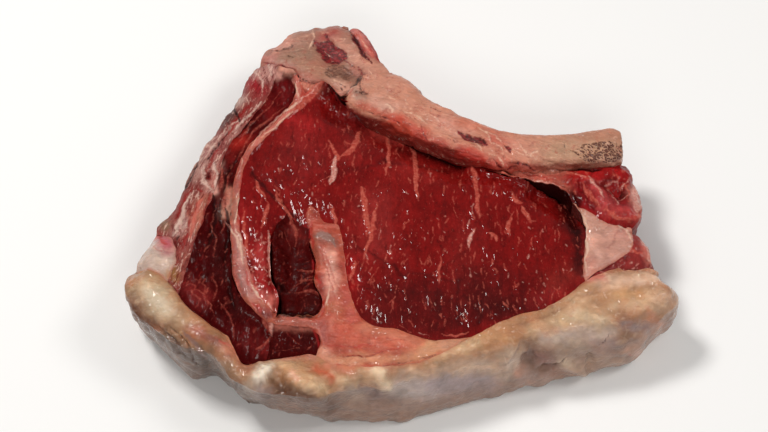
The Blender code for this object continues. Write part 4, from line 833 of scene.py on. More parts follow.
def side_of(line, side):
    """One edge of a strip: its middle line moved sideways by half the width, to the left for side 1."""
    middle = smooth_curve(line, NET_STEP)
    along = np.gradient(middle[:, :2], axis=0)
    along /= np.linalg.norm(along, axis=1)[:, None]
    across = np.stack([-along[:, 1], along[:, 0]], axis=1)
    return middle[:, :2] + side * across * middle[:, 2:3]


def joined_to(point, points):
    """The nearest of some points, or the point itself where none of them is near."""
    gaps = np.linalg.norm(points - point, axis=1)
    return points[np.argmin(gaps)] if gaps.min() < JOIN_WITHIN else point


def draw_plan():
    """The outline with its extra values, and every seam as a line that ends on the lines before it."""
    outline = smooth_curve(OUTLINE, NET_STEP, closed=True)
    drawn = outline[:, :2]
    seams = []
    for points in SEAMS.values():
        if points is INNER_EDGE:
            seam = side_of(SEAM_STRIP, 1)
        elif points is OUTER_EDGE:
            seam = side_of(SEAM_STRIP, -1)
        else:
            seam = smooth_curve(points, NET_STEP)
        seam[0] = joined_to(seam[0], drawn)
        seam[-1] = joined_to(seam[-1], drawn)
        seams.append(seam)
        drawn = np.vstack([drawn, seam])
    outline[:, :2] = warped(outline[:, :2], LINE_WOBBLE, LINE_SEED)
    return outline, [warped(seam, LINE_WOBBLE, LINE_SEED) for seam in seams]


def tree_of(points):
    """A tree that finds the nearest of some plan points."""
    tree = KDTree(len(points))
    for i, (x, y) in enumerate(points):
        tree.insert((x, y, 0), i)
    tree.balance()
    return tree


def nearest(tree, points):
    """For each plan point, the number of the nearest point of the tree, and the distance to it."""
    found = [tree.find((x, y, 0)) for x, y in points]
    return np.array([f[1] for f in found]), np.array([f[2] for f in found])


def divide_plan(outline, seams):
    """The plan as a fine net: its points, its triangles, and the edges that lie on a drawn line."""
    keys, points, edges = {}, [], []

    def index_of(point):
        key = (round(point[0], 4), round(point[1], 4))
        if key not in keys:
            keys[key] = len(points)
            points.append(key)
        return keys[key]

    loop = [index_of(p) for p in outline[:, :2]]
    edges += list(zip(loop, loop[1:] + loop[:1]))
    for seam in seams:
        line = [index_of(p) for p in seam]
        edges += [pair for pair in zip(line, line[1:]) if pair[0] != pair[1]]
    drawn = np.array(points)
    low, high = drawn.min(axis=0), drawn.max(axis=0)
    rows = int((high[1] - low[1]) / (NET_STEP * ROW_STEP)) + 1
    columns = int((high[0] - low[0]) / NET_STEP) + 1
    across, up = np.meshgrid(np.arange(columns), np.arange(rows))
    grid = np.stack([(across + up % 2 / 2).ravel(), (up * ROW_STEP).ravel()], axis=1) * NET_STEP + low
    grid += np.random.default_rng(NET_SEED).uniform(-NET_STRAY, NET_STRAY, grid.shape)
    _, gaps = nearest(tree_of(drawn), grid)
    spots = [Vector(p) for p in np.vstack([drawn, grid[gaps > NET_CLEARANCE]])]
    net, all_edges, triangles, _, sources, _ = delaunay_2d_cdt(spots, edges, [], 1, SAME_SPOT, True)
    lines = {tuple(sorted(edge)) for edge, source in zip(all_edges, sources) if source}
    return np.array(net), triangles, lines


def fields_of(triangles, lines):
    """The number of the field that each triangle is in, where the drawn lines close the fields off."""
    sharing = {}
    for t, corners in enumerate(triangles):
        for a, b in zip(corners, corners[1:] + corners[:1]):
            sharing.setdefault((a, b) if a < b else (b, a), []).append(t)
    links = [[] for _ in triangles]
    for edge, users in sharing.items():
        if len(users) == 2 and edge not in lines:
            links[users[0]].append(users[1])
            links[users[1]].append(users[0])
    field = np.full(len(triangles), -1)
    for first in range(len(triangles)):
        if field[first] >= 0:
            continue
        field[first] = first
        waiting = [first]
        while waiting:
            for other in links[waiting.pop()]:
                if field[other] < 0:
                    field[other] = first
                    waiting.append(other)
    return field


def border_of(triangles):
    """The corners round a field, anticlockwise."""
    sides = {side for t in triangles for side in zip(t, t[1:] + t[:1])}
    following = {a: b for a, b in sides if (b, a) not in sides}
    border = [min(following)]
    while following[border[-1]] != border[0]:
        border.append(following[border[-1]])
    return border


def outward_normals(outline):
    """The unit normals of the outline, pointing away from the meat."""
    plan = outline[:, :2]
    along = np.roll(plan, -NORMAL_REACH, axis=0) - np.roll(plan, NORMAL_REACH, axis=0)
    along /= np.linalg.norm(along, axis=1)[:, None]
    return np.stack([along[:, 1], -along[:, 0]], axis=1)


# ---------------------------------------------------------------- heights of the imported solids


def tree_over(names):
    """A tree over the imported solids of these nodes, for rays to meet, and the number of each face's node."""
    spots, faces, owner = [], [], []
    for number, name in enumerate(names):
        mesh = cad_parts[name].data
        start = len(spots)
        spots += [v.co / MM for v in mesh.vertices]
        mesh.calc_loop_triangles()
        faces += [[start + i for i in t.vertices] for t in mesh.loop_triangles]
        owner += [number] * (len(faces) - len(owner))
    return BVHTree.FromPolygons(spots, faces), owner


def solid_heights():
    """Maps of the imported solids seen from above: the height of each spot, and the number of its node.

    The rib lies over the other pieces, so the spots under it have no number.
    """
    meat, owner = tree_over([name for name in PIECES if name != "rib_bone"])
    rib, _ = tree_over(["rib_bone"])
    heights = np.zeros(MAP_SHAPE)
    label = np.full(MAP_SHAPE, -1)
    for j in range(MAP_SHAPE[0]):
        for i in range(MAP_SHAPE[1]):
            x, y = MAP_CORNER + MAP_CELL * np.array((i, j)) + TO_MIDDLE
            spot, _, face, _ = meat.ray_cast((x, y, RAY_HEIGHT), (0, 0, -1))
            if spot is not None and rib.ray_cast((x, y, RAY_HEIGHT), (0, 0, -1))[0] is None:
                heights[j, i] = spot.z
                label[j, i] = owner[face]
    return heights, label


def blurred(values, spread):
    """A map smoothed by a bell curve that is this many cells wide."""
    reach = int(3 * spread)
    weights = np.exp(-0.5 * (np.arange(-reach, reach + 1) / spread) ** 2)
    for axis in (0, 1):
        shifts = zip(range(-reach, reach + 1), weights)
        values = sum(weight * np.roll(values, shift, axis) for shift, weight in shifts)
    return values / weights.sum() ** 2


def read_map(values, points):
    """A map's values at plan points, read between its cells."""
    spots = (points - MAP_CORNER) / MAP_CELL
    low = np.clip(np.floor(spots).astype(int), 0, np.array(MAP_SHAPE)[::-1] - 2)
    share = spots - low
    i, j, u, v = low[:, 0], low[:, 1], share[:, 0], share[:, 1]
    near = values[j, i] * (1 - u) + values[j, i + 1] * u
    far = values[j + 1, i] * (1 - u) + values[j + 1, i + 1] * u
    return near * (1 - v) + far * v


def smoothed_heights(heights, weight):
    """Heights smoothed among the cells that count, and carried a little way past them."""
    known = blurred(weight, MAP_BLUR)
    return (blurred(heights * weight, MAP_BLUR) + UNKNOWN * UNDER_RIB) / (known + UNKNOWN)


# ---------------------------------------------------------------- marks


def on_sheet(spots):
    """Where spots in space show on the level sheet that the marks are drawn on, from the camera's place."""
    share = (EYE[2] - SHEET_LEVEL) / (EYE[2] - spots[:, 2])
    return EYE[:2] + (spots[:, :2] - EYE[:2]) * share[:, None]


def gap_to_line(points, line, widths):
    """How far each point is from a line, less the line's half width there."""
    best = np.full(len(points), np.inf)
    for a, b, wa, wb in zip(line[:-1], line[1:], widths[:-1], widths[1:]):
        along = b - a
        share = np.clip((points - a) @ along / max(along @ along, 1e-9), 0, 1)
        gap = np.linalg.norm(points - (a + share[:, None] * along), axis=1) - (wa + share * (wb - wa))
        best = np.minimum(best, gap)
    return best


def near_line(points, line, reach):
    """The numbers of the points that are near enough to a line to be touched by it."""
    low, high = line.min(axis=0) - reach, line.max(axis=0) + reach
    return np.nonzero(np.all((points > low) & (points < high), axis=1))[0]


def lay_marks(name, points):
    """How far each point is from the nearest mark of every kind, and the relief that the marks add."""
    gaps = {kind: np.full(len(points), MARK_REACH) for kind in KINDS}
    relief = np.zeros(len(points))
    for owners, marks in MARKS.items():
        if name not in owners:
            continue
        for kind, half_width, rise, *route in marks:
            line = np.array(route, float).reshape(-1, 2)
            if len(line) > 2:
                line = smooth_curve(line, MARK_STEP)
            touched = near_line(points, line, half_width + MARK_REACH)
            if not len(touched):
                continue
            along = np.linspace(0, 1, len(line))
            swell = np.minimum(1, TIP_SLOPE * along * (1 - along))
            widths = half_width * (TIP_WIDTH + (1 - TIP_WIDTH) * swell)
            gap = gap_to_line(points[touched], line, widths)
            gaps[kind][touched] = np.minimum(gaps[kind][touched], gap)
            relief[touched] += rise * ramp(gap, 0.5 * half_width + 0.3, -half_width * 0.9)
    return gaps, relief


def lay_flecks(name, points, gaps):
    """Short marks strewn over a piece, seeded so that they fall the same way each time."""
    for number, (owner, kind, count, box, length, half_width, slant) in enumerate(FLECKS):
        if owner != name:
            continue
        draw = np.random.default_rng(FLECK_SEED + number)
        for _ in range(count):
            middle = draw.uniform(box[:2], box[2:])
            turn = math.radians(slant + draw.normal(0, FLECK_TURN))
            size = draw.uniform(*FLECK_SIZES) ** 2
            half = 0.5 * length * size * np.array((math.sin(turn), math.cos(turn)))
            width = half_width * (FLECK_WIDTH[0] + FLECK_WIDTH[1] * size)
            bend = draw.normal(0, FLECK_BEND * length, 2)
            line = np.array((middle - half, middle + bend * 0.5, middle + half))
            touched = near_line(points, line, width + FLECK_REACH)
            if len(touched):
                gap = gap_to_line(points[touched], line, width * FLECK_TAPER)
                gaps[kind][touched] = np.minimum(gaps[kind][touched], gap)


def linear(colour):
    """A colour as Blender's nodes want it, from one written as on a screen, from 0 to 255."""
    share = np.array(colour, float) / 255
    return np.where(share <= 0.04045, share / 12.92, ((share + 0.055) / 1.055) ** 2.4)


def lay_colours(name, points, seen, wall):
    """The ground colour of each point: the piece's own, and its patches where the camera sees them."""
    top, side = PIECES[name][1:3]
    colours = linear(top) + wall[:, None] * (linear(side) - linear(top))
    for x1, y1, x2, y2, radius, colour, strength in PATCHES.get(name, ()):
        line = np.array(((x1, y1), (x2, y2)), float)
        gap = gap_to_line(points, line, np.zeros(2))
        weight = strength * seen * np.exp(-((np.maximum(gap, 0) / radius) ** 2))
        colours += weight[:, None] * (linear(colour) - colours)
    return colours


def lay_humps(name, points):
    """The relief of a piece's humps and hollows."""
    relief = np.zeros(len(points))
    for x1, y1, x2, y2, radius, height in HUMPS.get(name, ()):
        line = np.array(((x1, y1), (x2, y2)), float)
        relief += height * np.exp(-((gap_to_line(points, line, np.zeros(2)) / radius) ** 2))
    return relief


def dress(name, spots, normals, wall):
    """Move a piece's points along their normals by its relief, and give what its material reads."""
    sheet = on_sheet(spots)
    seen = ramp(normals @ TO_CAMERA, *SEEN)
    drawn = warped(sheet, MARK_WOBBLE, MARK_SEED)
    gaps, relief = lay_marks(name, drawn)
    lay_flecks(name, drawn, gaps)
    daubed = warped(sheet, PATCH_WOBBLE, PATCH_SEED)
    relief += lay_humps(name, daubed)
    relief *= seen
    for where, amount, size, layers in ROUGHNESS.get(name, ()):
        share = wall if where == WALL else 1 - wall
        relief += share * amount * layered_noise(spots, size, RELIEF_SEED, layers)
    for kind in KINDS:
        gaps[kind] = MARK_REACH + (gaps[kind] - MARK_REACH) * seen
    return spots + normals * relief[:, None], gaps, lay_colours(name, daubed, seen, wall)


# ---------------------------------------------------------------- pieces


def add_attribute(mesh, name, kind, values):
    """Store a value for each of a mesh's points."""
    layer = mesh.attributes.new(name, kind, "POINT")
    field = "color" if kind == "FLOAT_COLOR" else "vector"
    layer.data.foreach_set(field, values.astype(np.float32).ravel())


def finish_piece(name, spots, faces, gaps, colours, place):
    """A piece as an object, with its attributes and its material, that stands for its node."""
    mesh = bpy.data.meshes.new(name + "_look")
    placed = (spots + np.array((*TO_MIDDLE, 0))) * MM
    mesh.from_pydata(placed.tolist(), [], faces)
    add_attribute(mesh, "tone", "FLOAT_COLOR", np.hstack([colours, np.ones((len(colours), 1))]))
    add_attribute(mesh, "marks_a", "FLOAT_VECTOR", np.stack([gaps[k] for k in KINDS[:3]], axis=1))
    add_attribute(mesh, "marks_b", "FLOAT_VECTOR", np.stack([gaps[k] for k in KINDS[3:]], axis=1))
    add_attribute(mesh, "place", "FLOAT_VECTOR", place)
    mesh.shade_smooth()
    mesh.set_sharp_from_angle(angle=SMOOTH_UP_TO)
    piece = bpy.data.objects.new(name + "_look", mesh)
    bpy.context.scene.collection.objects.link(piece)
    mesh.materials.append(MAKERS[PIECES[name][3]](name))
    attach(piece, "root")
    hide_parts(name)


def face_level(own, shared, points):
    """The height of a piece's face: its own, and the shared one where it meets its neighbours level."""
    level = read_map(own, points)
    common = read_map(shared, points)
    return level + (common - level) * ramp(np.abs(common - level), *LEVEL_WITHIN[::-1])


def build_field(name, net, triangles, outline, rim_tree, own, shared):
    """A piece of the slice: its face, its walls and its foot."""
    used = sorted({c for t in triangles for c in t})
    number = {c: i for i, c in enumerate(used)}
    plan = net[used]
    rim, gap = nearest(rim_tree, plan)
    outward = outward_normals(outline)[rim]
    radius, lean = outline[rim, 3], outline[rim, 2]
    level = face_level(own, shared, plan)
    at_rim = gap < AT_RIM
    tilt = 0.5 * ramp(gap, radius, 0.0)
    border = [number[c] for c in border_of(triangles)]
    faces = [[number[c] for c in t] for t in triangles]
    spots = [np.column_stack([plan, level])]
    tilts = [tilt]
    ways = [outward]
    shares = OUTER_SHARES if at_rim[border].sum() > FEW_CORNERS else INNER_SHARES
    upper = border
    start = len(plan)
    for share in shares:
        shift = wall_shift(share, lean[border], radius[border]) * at_rim[border]
        ring = plan[border] + outward[border] * shift[:, None]
        spots.append(np.column_stack([ring, level[border] * share]))
        tilts.append(0.5 + 0.5 * ramp((1 - share) * level[border], 0, WALL_TURN))
        ways.append(outward[border])
        lower = list(range(start, start + len(border)))
        start += len(border)
        faces += [(upper[i], upper[i - 1], lower[i - 1], lower[i]) for i in range(len(border))]
        upper = lower
    faces.append(upper[::-1])
    spots, tilts, ways = np.vstack(spots), np.concatenate(tilts), np.vstack(ways)
    inner = np.ones(len(spots), bool)
    inner[: len(plan)] = ~at_rim
    inner[len(plan) :] = np.tile(~at_rim[border], len(shares))
    angle = tilts * math.pi / 2
    normals = np.column_stack([ways * np.sin(angle)[:, None], np.cos(angle)])
    on_seam_wall = inner.copy()
    on_seam_wall[: len(plan)] = False
    wall = ramp(tilts, *WALL_TILTS)
    moved, gaps, colours = dress(name, spots, normals, wall)
    moved[on_seam_wall] = spots[on_seam_wall]
    # The walls between pieces take the dark seam colour, as painted shade.
    colours[on_seam_wall] = linear(SEAM_SHADE_COLOURS[PIECES[name][3]])
    sink = moved[border, 2] - spots[border, 2]
    walls = moved[len(plan) :].reshape(len(shares), len(border), 3)
    hidden = ~at_rim[border]
    walls[:, hidden, 2] += shares[:, None] * sink[hidden]
    walls[:, hidden, :2] = moved[border][hidden, :2]
    moved[len(plan) :] = walls.reshape(-1, 3)
    moved[:, 2] = np.maximum(moved[:, 2], 0)
    edge = np.full(len(moved), MARK_REACH)
    edge[: len(plan)] = np.minimum(nearest(tree_of(plan[border][hidden]), plan)[1], MARK_REACH)
    finish_piece(name, moved, faces, gaps, colours, np.column_stack([wall, edge, on_seam_wall]))


def wall_shift(share, lean, roundness):
    """How far out a wall stands, at a share of its height, from the edge of the face above it."""
    bulge = WALL_BULGE * roundness * math.sin(math.pi * share)
    tuck = FOOT_TUCK * roundness * max(0.0, 1 - share / FOOT_SHARE) ** 2
    return lean * (1 - share) + bulge - tuck


def build_rib():
    """The rib bone: a squarish oval carried along its middle line, closed by rounded ends."""
    middle = smooth_curve(RIB_LINE, NET_STEP)
    along = np.gradient(middle[:, :2], axis=0)
    along /= np.linalg.norm(along, axis=1)[:, None]
    turns = np.linspace(0, 2 * math.pi, RIB_SIDES, endpoint=False)
    wide, high = np.cos(turns), np.sin(turns)
    swell = (np.abs(wide) ** RIB_SQUARENESS + np.abs(high) ** RIB_SQUARENESS) ** (-1 / RIB_SQUARENESS)
    wide, high = wide * swell, high * swell * RIB_FLATTENING
    stations = [(middle[0], along[0], -RIB_ROOT * on, size) for on, size in RIB_END[::-1]]
    stations += [(knot, way, 0, 1) for knot, way in zip(middle, along)]
    stations += [(middle[-1], along[-1], on, size) for on, size in RIB_END]
    rings = []
    for (x, y, half, level), way, on, size in stations:
        flat = (x, y) + way * on + np.outer(wide * half * size, (-way[1], way[0]))
        rings.append(np.column_stack([flat, level + high * half * size]))
    spots = np.vstack(rings)
    faces = []
    for k in range(len(rings) - 1):
        for i in range(RIB_SIDES):
            j = (i + 1) % RIB_SIDES
            faces.append([n + k * RIB_SIDES for n in (i, j, j + RIB_SIDES, i + RIB_SIDES)])
    faces.append(list(range(RIB_SIDES))[::-1])
    faces.append([len(spots) - RIB_SIDES + i for i in range(RIB_SIDES)])
    draft = bpy.data.meshes.new("rib_draft")
    draft.from_pydata(spots.tolist(), [], faces)
    normals = np.array([n.vector for n in draft.vertex_normals])
    bpy.data.meshes.remove(draft)
    wall = ramp(normals[:, 2], *RIB_WALL)
    moved, gaps, colours = dress("rib_bone", spots, normals, wall)
    place = np.column_stack([wall, wall * 0 + MARK_REACH, wall * 0])
    finish_piece("rib_bone", moved, faces, gaps, colours, place)


def build_steak():
    """Every piece of the steak, in the place of its node."""
    outline, seams = draw_plan()
    net, triangles, lines = divide_plan(outline, seams)
    field = fields_of(triangles, lines)
    heights, label = solid_heights()
    shared = smoothed_heights(heights, (label >= 0).astype(float))
    centres = net[np.array(triangles)].mean(axis=1)
    rim_tree = tree_of(outline[:, :2])
    for number, (name, facts) in enumerate(PIECES.items()):
        if name == "rib_bone":
            continue
        near = np.argmin(np.linalg.norm(centres - facts[0], axis=1))
        own = [triangles[t] for t in np.nonzero(field == field[near])[0]]
        level = smoothed_heights(heights, (label == number).astype(float))
        build_field(name, net, own, outline, rim_tree, level, shared)
    build_rib()


# ---------------------------------------------------------------- materials


class Shade:
    """A material being wired: each call adds a node and gives its output."""

    def __init__(self, name, turn=0.0):
        self.material = bpy.data.materials.new(name + "_look")
        self.material.use_nodes = True
        self.tree = self.material.node_tree
        self.shader = self.tree.nodes["Principled BSDF"]
        place = self.add("ShaderNodeTexCoord")
        self.place = self.vector("MULTIPLY", place.outputs["Object"], (1 / MM, 1 / MM, 1 / MM))
        if turn:
            turned = self.add("ShaderNodeVectorRotate", rotation_type="Z_AXIS")
            self.feed(turned.inputs["Vector"], self.place)
            turned.inputs["Angle"].default_value = math.radians(turn)
            self.place = turned.outputs["Vector"]

    def add(self, kind, **settings):
        """A node with its settings."""
        node = self.tree.nodes.new(kind)
        for key, value in settings.items():
            setattr(node, key, value)
        return node

    def feed(self, socket, value):
        """Link an output to a socket, or set the socket's number or colour."""
        if isinstance(value, bpy.types.NodeSocket):
            self.tree.links.new(value, socket)
        else:
            socket.default_value = value

    def vector(self, operation, a, b):
        """A step of vector arithmetic."""
        node = self.add("ShaderNodeVectorMath", operation=operation)
        self.feed(node.inputs[0], a)
        self.feed(node.inputs[1], b)
        return node.outputs[0]

    def number(self, operation, a, b=0.0, clamped=False):
        """A step of arithmetic."""
        node = self.add("ShaderNodeMath", operation=operation, use_clamp=clamped)
        self.feed(node.inputs[0], a)
        self.feed(node.inputs[1], b)
        return node.outputs[0]

    def sum_of(self, *parts):
        """The sum of several outputs, each times a number."""
        total = 0.0
        for output, factor in parts:
            node = self.add("ShaderNodeMath", operation="MULTIPLY_ADD")
            self.feed(node.inputs[0], output)
            self.feed(node.inputs[1], factor)
            self.feed(node.inputs[2], total)
            total = node.outputs[0]
        return total

    def noise(self, size, detail=2.0, roughness=0.5, distortion=0.0, shift=0.0):
        """Noise about zero, from -0.5 to 0.5, with lumps of a size in millimetres along each axis."""
        size = size if isinstance(size, tuple) else (size, size, size)
        stretched = self.vector("MULTIPLY", self.place, tuple(1 / s for s in size))
        if shift:
            stretched = self.vector("ADD", stretched, (shift, shift * 0.7, shift * 1.3))
        node = self.add("ShaderNodeTexNoise")
        self.feed(node.inputs["Vector"], stretched)
        node.inputs["Scale"].default_value = 1.0
        node.inputs["Detail"].default_value = detail
        node.inputs["Roughness"].default_value = roughness
        node.inputs["Distortion"].default_value = distortion
        return self.number("SUBTRACT", node.outputs["Fac"], 0.5)

    def cells(self, size, feature, stray):
        """The distance within a pattern of cells of a size in millimetres."""
        size = size if isinstance(size, tuple) else (size, size, size)
        spot = self.vector("MULTIPLY", self.place, tuple(1 / s for s in size))
        node = self.add("ShaderNodeTexNoise")
        self.feed(node.inputs["Vector"], spot)
        node.inputs["Scale"].default_value = 1.3
        away = self.vector("MULTIPLY", node.outputs["Color"], (stray, stray, stray))
        spot = self.vector("ADD", spot, away)
        node = self.add("ShaderNodeTexVoronoi", feature=feature)
        self.feed(node.inputs["Vector"], spot)
        node.inputs["Scale"].default_value = 1.0
        return node.outputs["Distance"]

    def ramp(self, value, low, high):
        """0 at low, 1 at high, smooth between."""
        node = self.add("ShaderNodeMapRange", interpolation_type="SMOOTHSTEP")
        self.feed(node.inputs["Value"], value)
        node.inputs["From Min"].default_value = low
        node.inputs["From Max"].default_value = high
        return node.outputs["Result"]

    def blend(self, share, a, b):
        """Two colours blended; a colour is an output or is written as on a screen."""
        node = self.add("ShaderNodeMix", data_type="RGBA", blend_type="MIX", clamp_factor=True)
        self.feed(node.inputs[0], share)
        for socket, colour in ((node.inputs[6], a), (node.inputs[7], b)):
            value = colour if isinstance(colour, bpy.types.NodeSocket) else (*linear(colour), 1)
            self.feed(socket, value)
        return node.outputs[2]

    def over(self, ground, ink, mask, strength):
        """The ground colour with an ink over it, as strongly as the mask times a number."""
        return self.blend(self.number("MULTIPLY", mask, strength), ground, ink)

    def raised(self, base, *parts, clamped=False):
        """A number plus the sum of several outputs, each times a number."""
        return self.number("ADD", self.sum_of(*parts), base, clamped)

    def wet(self, ripples, size, gain, least):
        """Ripples of the wet film, stronger in clusters, where they catch the light."""
        cluster = self.ramp(self.noise(size, 2.0, 0.5, 0.0, 83.0), -0.1, 0.22)
        return self.number("MULTIPLY", ripples, self.raised(least, (cluster, gain)))

    def bright(self, colour, factor):
        """A colour made lighter or darker by a factor."""
        node = self.add("ShaderNodeVectorMath", operation="SCALE")
        self.feed(node.inputs[0], colour)
        self.feed(node.inputs["Scale"], factor)
        return node.outputs[0]

    def veins(self, size, width, shift, distortion=1.2):
        """Thin wandering lines, where smooth noise passes through zero."""
        line = self.number("ABSOLUTE", self.noise(size, 2.0, 0.6, distortion, shift))
        return self.ramp(line, width, 0.2 * width)

    def attribute(self, name):
        """The attribute's parts X, Y and Z."""
        node = self.add("ShaderNodeAttribute", attribute_name=name)
        parts = self.add("ShaderNodeSeparateXYZ")
        self.feed(parts.inputs[0], node.outputs["Vector"])
        return parts.outputs[:]

    def tone(self):
        """The ground colour painted on the points."""
        return self.add("ShaderNodeAttribute", attribute_name="tone").outputs["Color"]

    def marks(self, edge=0.45, stray=0.9):
        """How strongly each kind of mark covers the spot, with ragged edges."""
        coarse = self.noise((1.8, 2.8, 2.2), 2.0, 0.6, 0.0, 31.0)
        fine = self.noise((0.7, 1.0, 0.9), 2.0, 0.65, 0.0, 37.0)
        gaps = self.attribute("marks_a") + self.attribute("marks_b")
        found = {}
        for kind, gap in zip(KINDS, gaps):
            moved = self.sum_of((gap, 1.0), (coarse, stray), (fine, 0.6 * stray))
            found[kind] = self.ramp(moved, edge, -edge)
        return found

    def edged(self, ground, ink, strength, width=1.3):
        """The ground colour, tinted raggedly where the piece meets its neighbours."""
        gap = self.attribute("place")[1]
        moved = self.sum_of((gap, 1.0), (self.noise(1.6, 3.0, 0.6, 0.0, 47.0), 2.2 * width))
        return self.over(ground, ink, self.ramp(moved, 1.5 * width, -0.3), strength)

    def finish(self, colour, roughness, height, strength=1.0, distance=0.3, film=None):
        """Wire the colour, the roughness, the bump and the bump of the film into the shader."""
        # On the walls between pieces, the tone's painted shade takes the place of the material's colour.
        colour = self.blend(self.attribute("place")[2], colour, self.tone())
        self.feed(self.shader.inputs["Base Color"], colour)
        self.feed(self.shader.inputs["Roughness"], roughness)
        for socket, rise in (("Normal", height), ("Coat Normal", film or height)):
            bump = self.add("ShaderNodeBump")
            bump.inputs["Strength"].default_value = strength
            bump.inputs["Distance"].default_value = distance * MM
            self.feed(bump.inputs["Height"], rise)
            self.feed(self.shader.inputs[socket], bump.outputs["Normal"])
        return self.material

    def set(self, **values):
        """Plain numbers on the shader's own sockets."""
        for key, value in values.items():
            self.shader.inputs[key.replace("_", " ")].default_value = value


SALMON_INK = (196, 100, 86)
# The ink of the dark marks: near-black painted shade in clefts and gaps.
CLEFT_SHADE_INK = (34, 7, 7)
RED_INK = (142, 28, 27)
GREY_INK = (132, 100, 92)


def laid_on(shade, ground, marks, inks):
    """The ground colour with the marks over it, in order."""
    for kind, ink, strength in inks:
        ground = shade.over(ground, ink, marks[kind], strength)
    return ground


# How far the fibres of a piece are turned, in degrees, how thick the wet film on a muscle is, and which of
# the muscles are dark, with dull marbling.
TURNS = {"side_rim": 20.0, "outer_muscle": 20.0, "chine_meat": 60.0, "rib_bone": 24.0}
FILMS = {
    "inner_muscle": 0.04, "lower_muscle": 0.12, "outer_muscle": 0.1, "side_muscle": 0.85, "eye_muscle": 0.7,
    "intercostal_meat": 0.45, "tail_meat": 0.5,
}
DARK_MUSCLES = ("inner_muscle", "lower_muscle", "outer_muscle")


def lean(name):
    """Wet raw muscle: fibres and bundles of them, fat flecks and marbling, under a moist film."""
    shade = Shade(name, TURNS.get(name, 0.0))
    marks = shade.marks(stray=0.85)
    fibres = shade.noise((0.6, 4.0, 2.0), 3.0, 0.65, 0.9)
    bundles = shade.noise((2.4, 9.0, 5.0), 3.0, 0.6, 1.2, 3.0)
    blotches = shade.noise((8.0, 11.0, 9.0), 3.0, 0.55, 0.5, 7.0)
    mottle = shade.noise(1.9, 3.0, 0.6, 0.3, 41.0)
    grain = shade.noise((0.6, 0.8, 0.7), 2.0, 0.6, 0.0, 11.0)
    light = shade.raised(
        1.0, (fibres, 0.22), (bundles, 0.75), (blotches, 1.15), (mottle, 0.55), (grain, 0.12)
    )
    ground = shade.bright(shade.tone(), light)
    vivid = shade.ramp(shade.sum_of((mottle, 1.0), (bundles, 0.8), (fibres, 0.5)), 0.1, 0.5)
    ground = shade.over(ground, (158, 46, 40), vivid, 0.4)
    deep = shade.ramp(shade.sum_of((bundles, 1.0), (mottle, 0.6)), -0.06, -0.4)
    ground = shade.over(ground, (54, 6, 7), deep, 0.45)
    fleck = shade.noise((0.6, 1.7, 1.0), 3.0, 0.6, 0.8, 19.0)
    where = shade.ramp(shade.noise(5.0, 2.0, 0.5, 0.0, 23.0), -0.16, 0.1)
    flecks = shade.number("MULTIPLY", shade.ramp(fleck, 0.12, 0.24), where)
    speckled = 0.3 if name in ("side_muscle", *DARK_MUSCLES) else 0.55
    ground = shade.over(ground, (186, 88, 76), flecks, speckled)
    ground = shade.edged(ground, shade.bright(ground, 1.4), 0.2)
    tint = shade.ramp(shade.noise(1.4, 2.0, 0.6, 0.0, 29.0), -0.2, 0.25)
    dull = name in DARK_MUSCLES
    salmon = shade.blend(tint, (140, 46, 40) if dull else (172, 66, 54), (208, 110, 92))
    # The cream ink is pale fat; its near-white end also serves as painted glints of the wet film, as on the
    # eye.
    cream = shade.blend(tint, (190, 112, 100), (222, 176, 162))
    colour = laid_on(
        shade, ground, marks,
        ((GREY, GREY_INK, 0.8), (RED, (150, 26, 28), 0.6), (CLEFT_SHADE, CLEFT_SHADE_INK, 0.8),
         (SALMON, salmon, 0.42 if dull else 0.68), (CREAM, cream, 0.55 if dull else 0.78)),
    )
    pale = shade.number("MAXIMUM", marks[SALMON], marks[CREAM])
    roughness = shade.raised(0.42, (grain, 0.25), (blotches, 0.2), (pale, 0.06), clamped=True)
    height = shade.sum_of((fibres, 0.15), (grain, 0.14), (mottle, 0.6), (pale, 0.2))
    ripples = shade.noise((2.3, 4.6, 3.6), 1.0, 0.5, 0.6, 43.0)
    film = shade.sum_of((shade.wet(ripples, (9.0, 14.0, 12.0), 2.6, 1.4), 1.0), (pale, 0.2))
    shade.set(
        Specular_IOR_Level=0.02, Coat_Weight=FILMS.get(name, 0.8), Coat_Roughness=0.04, Coat_IOR=1.33,
        Subsurface_Weight=0.08, Subsurface_Radius=(1.0, 0.2, 0.12), Subsurface_Scale=1.2 * MM,
    )
    return shade.finish(colour, roughness, height, 0.6, 0.4, film)


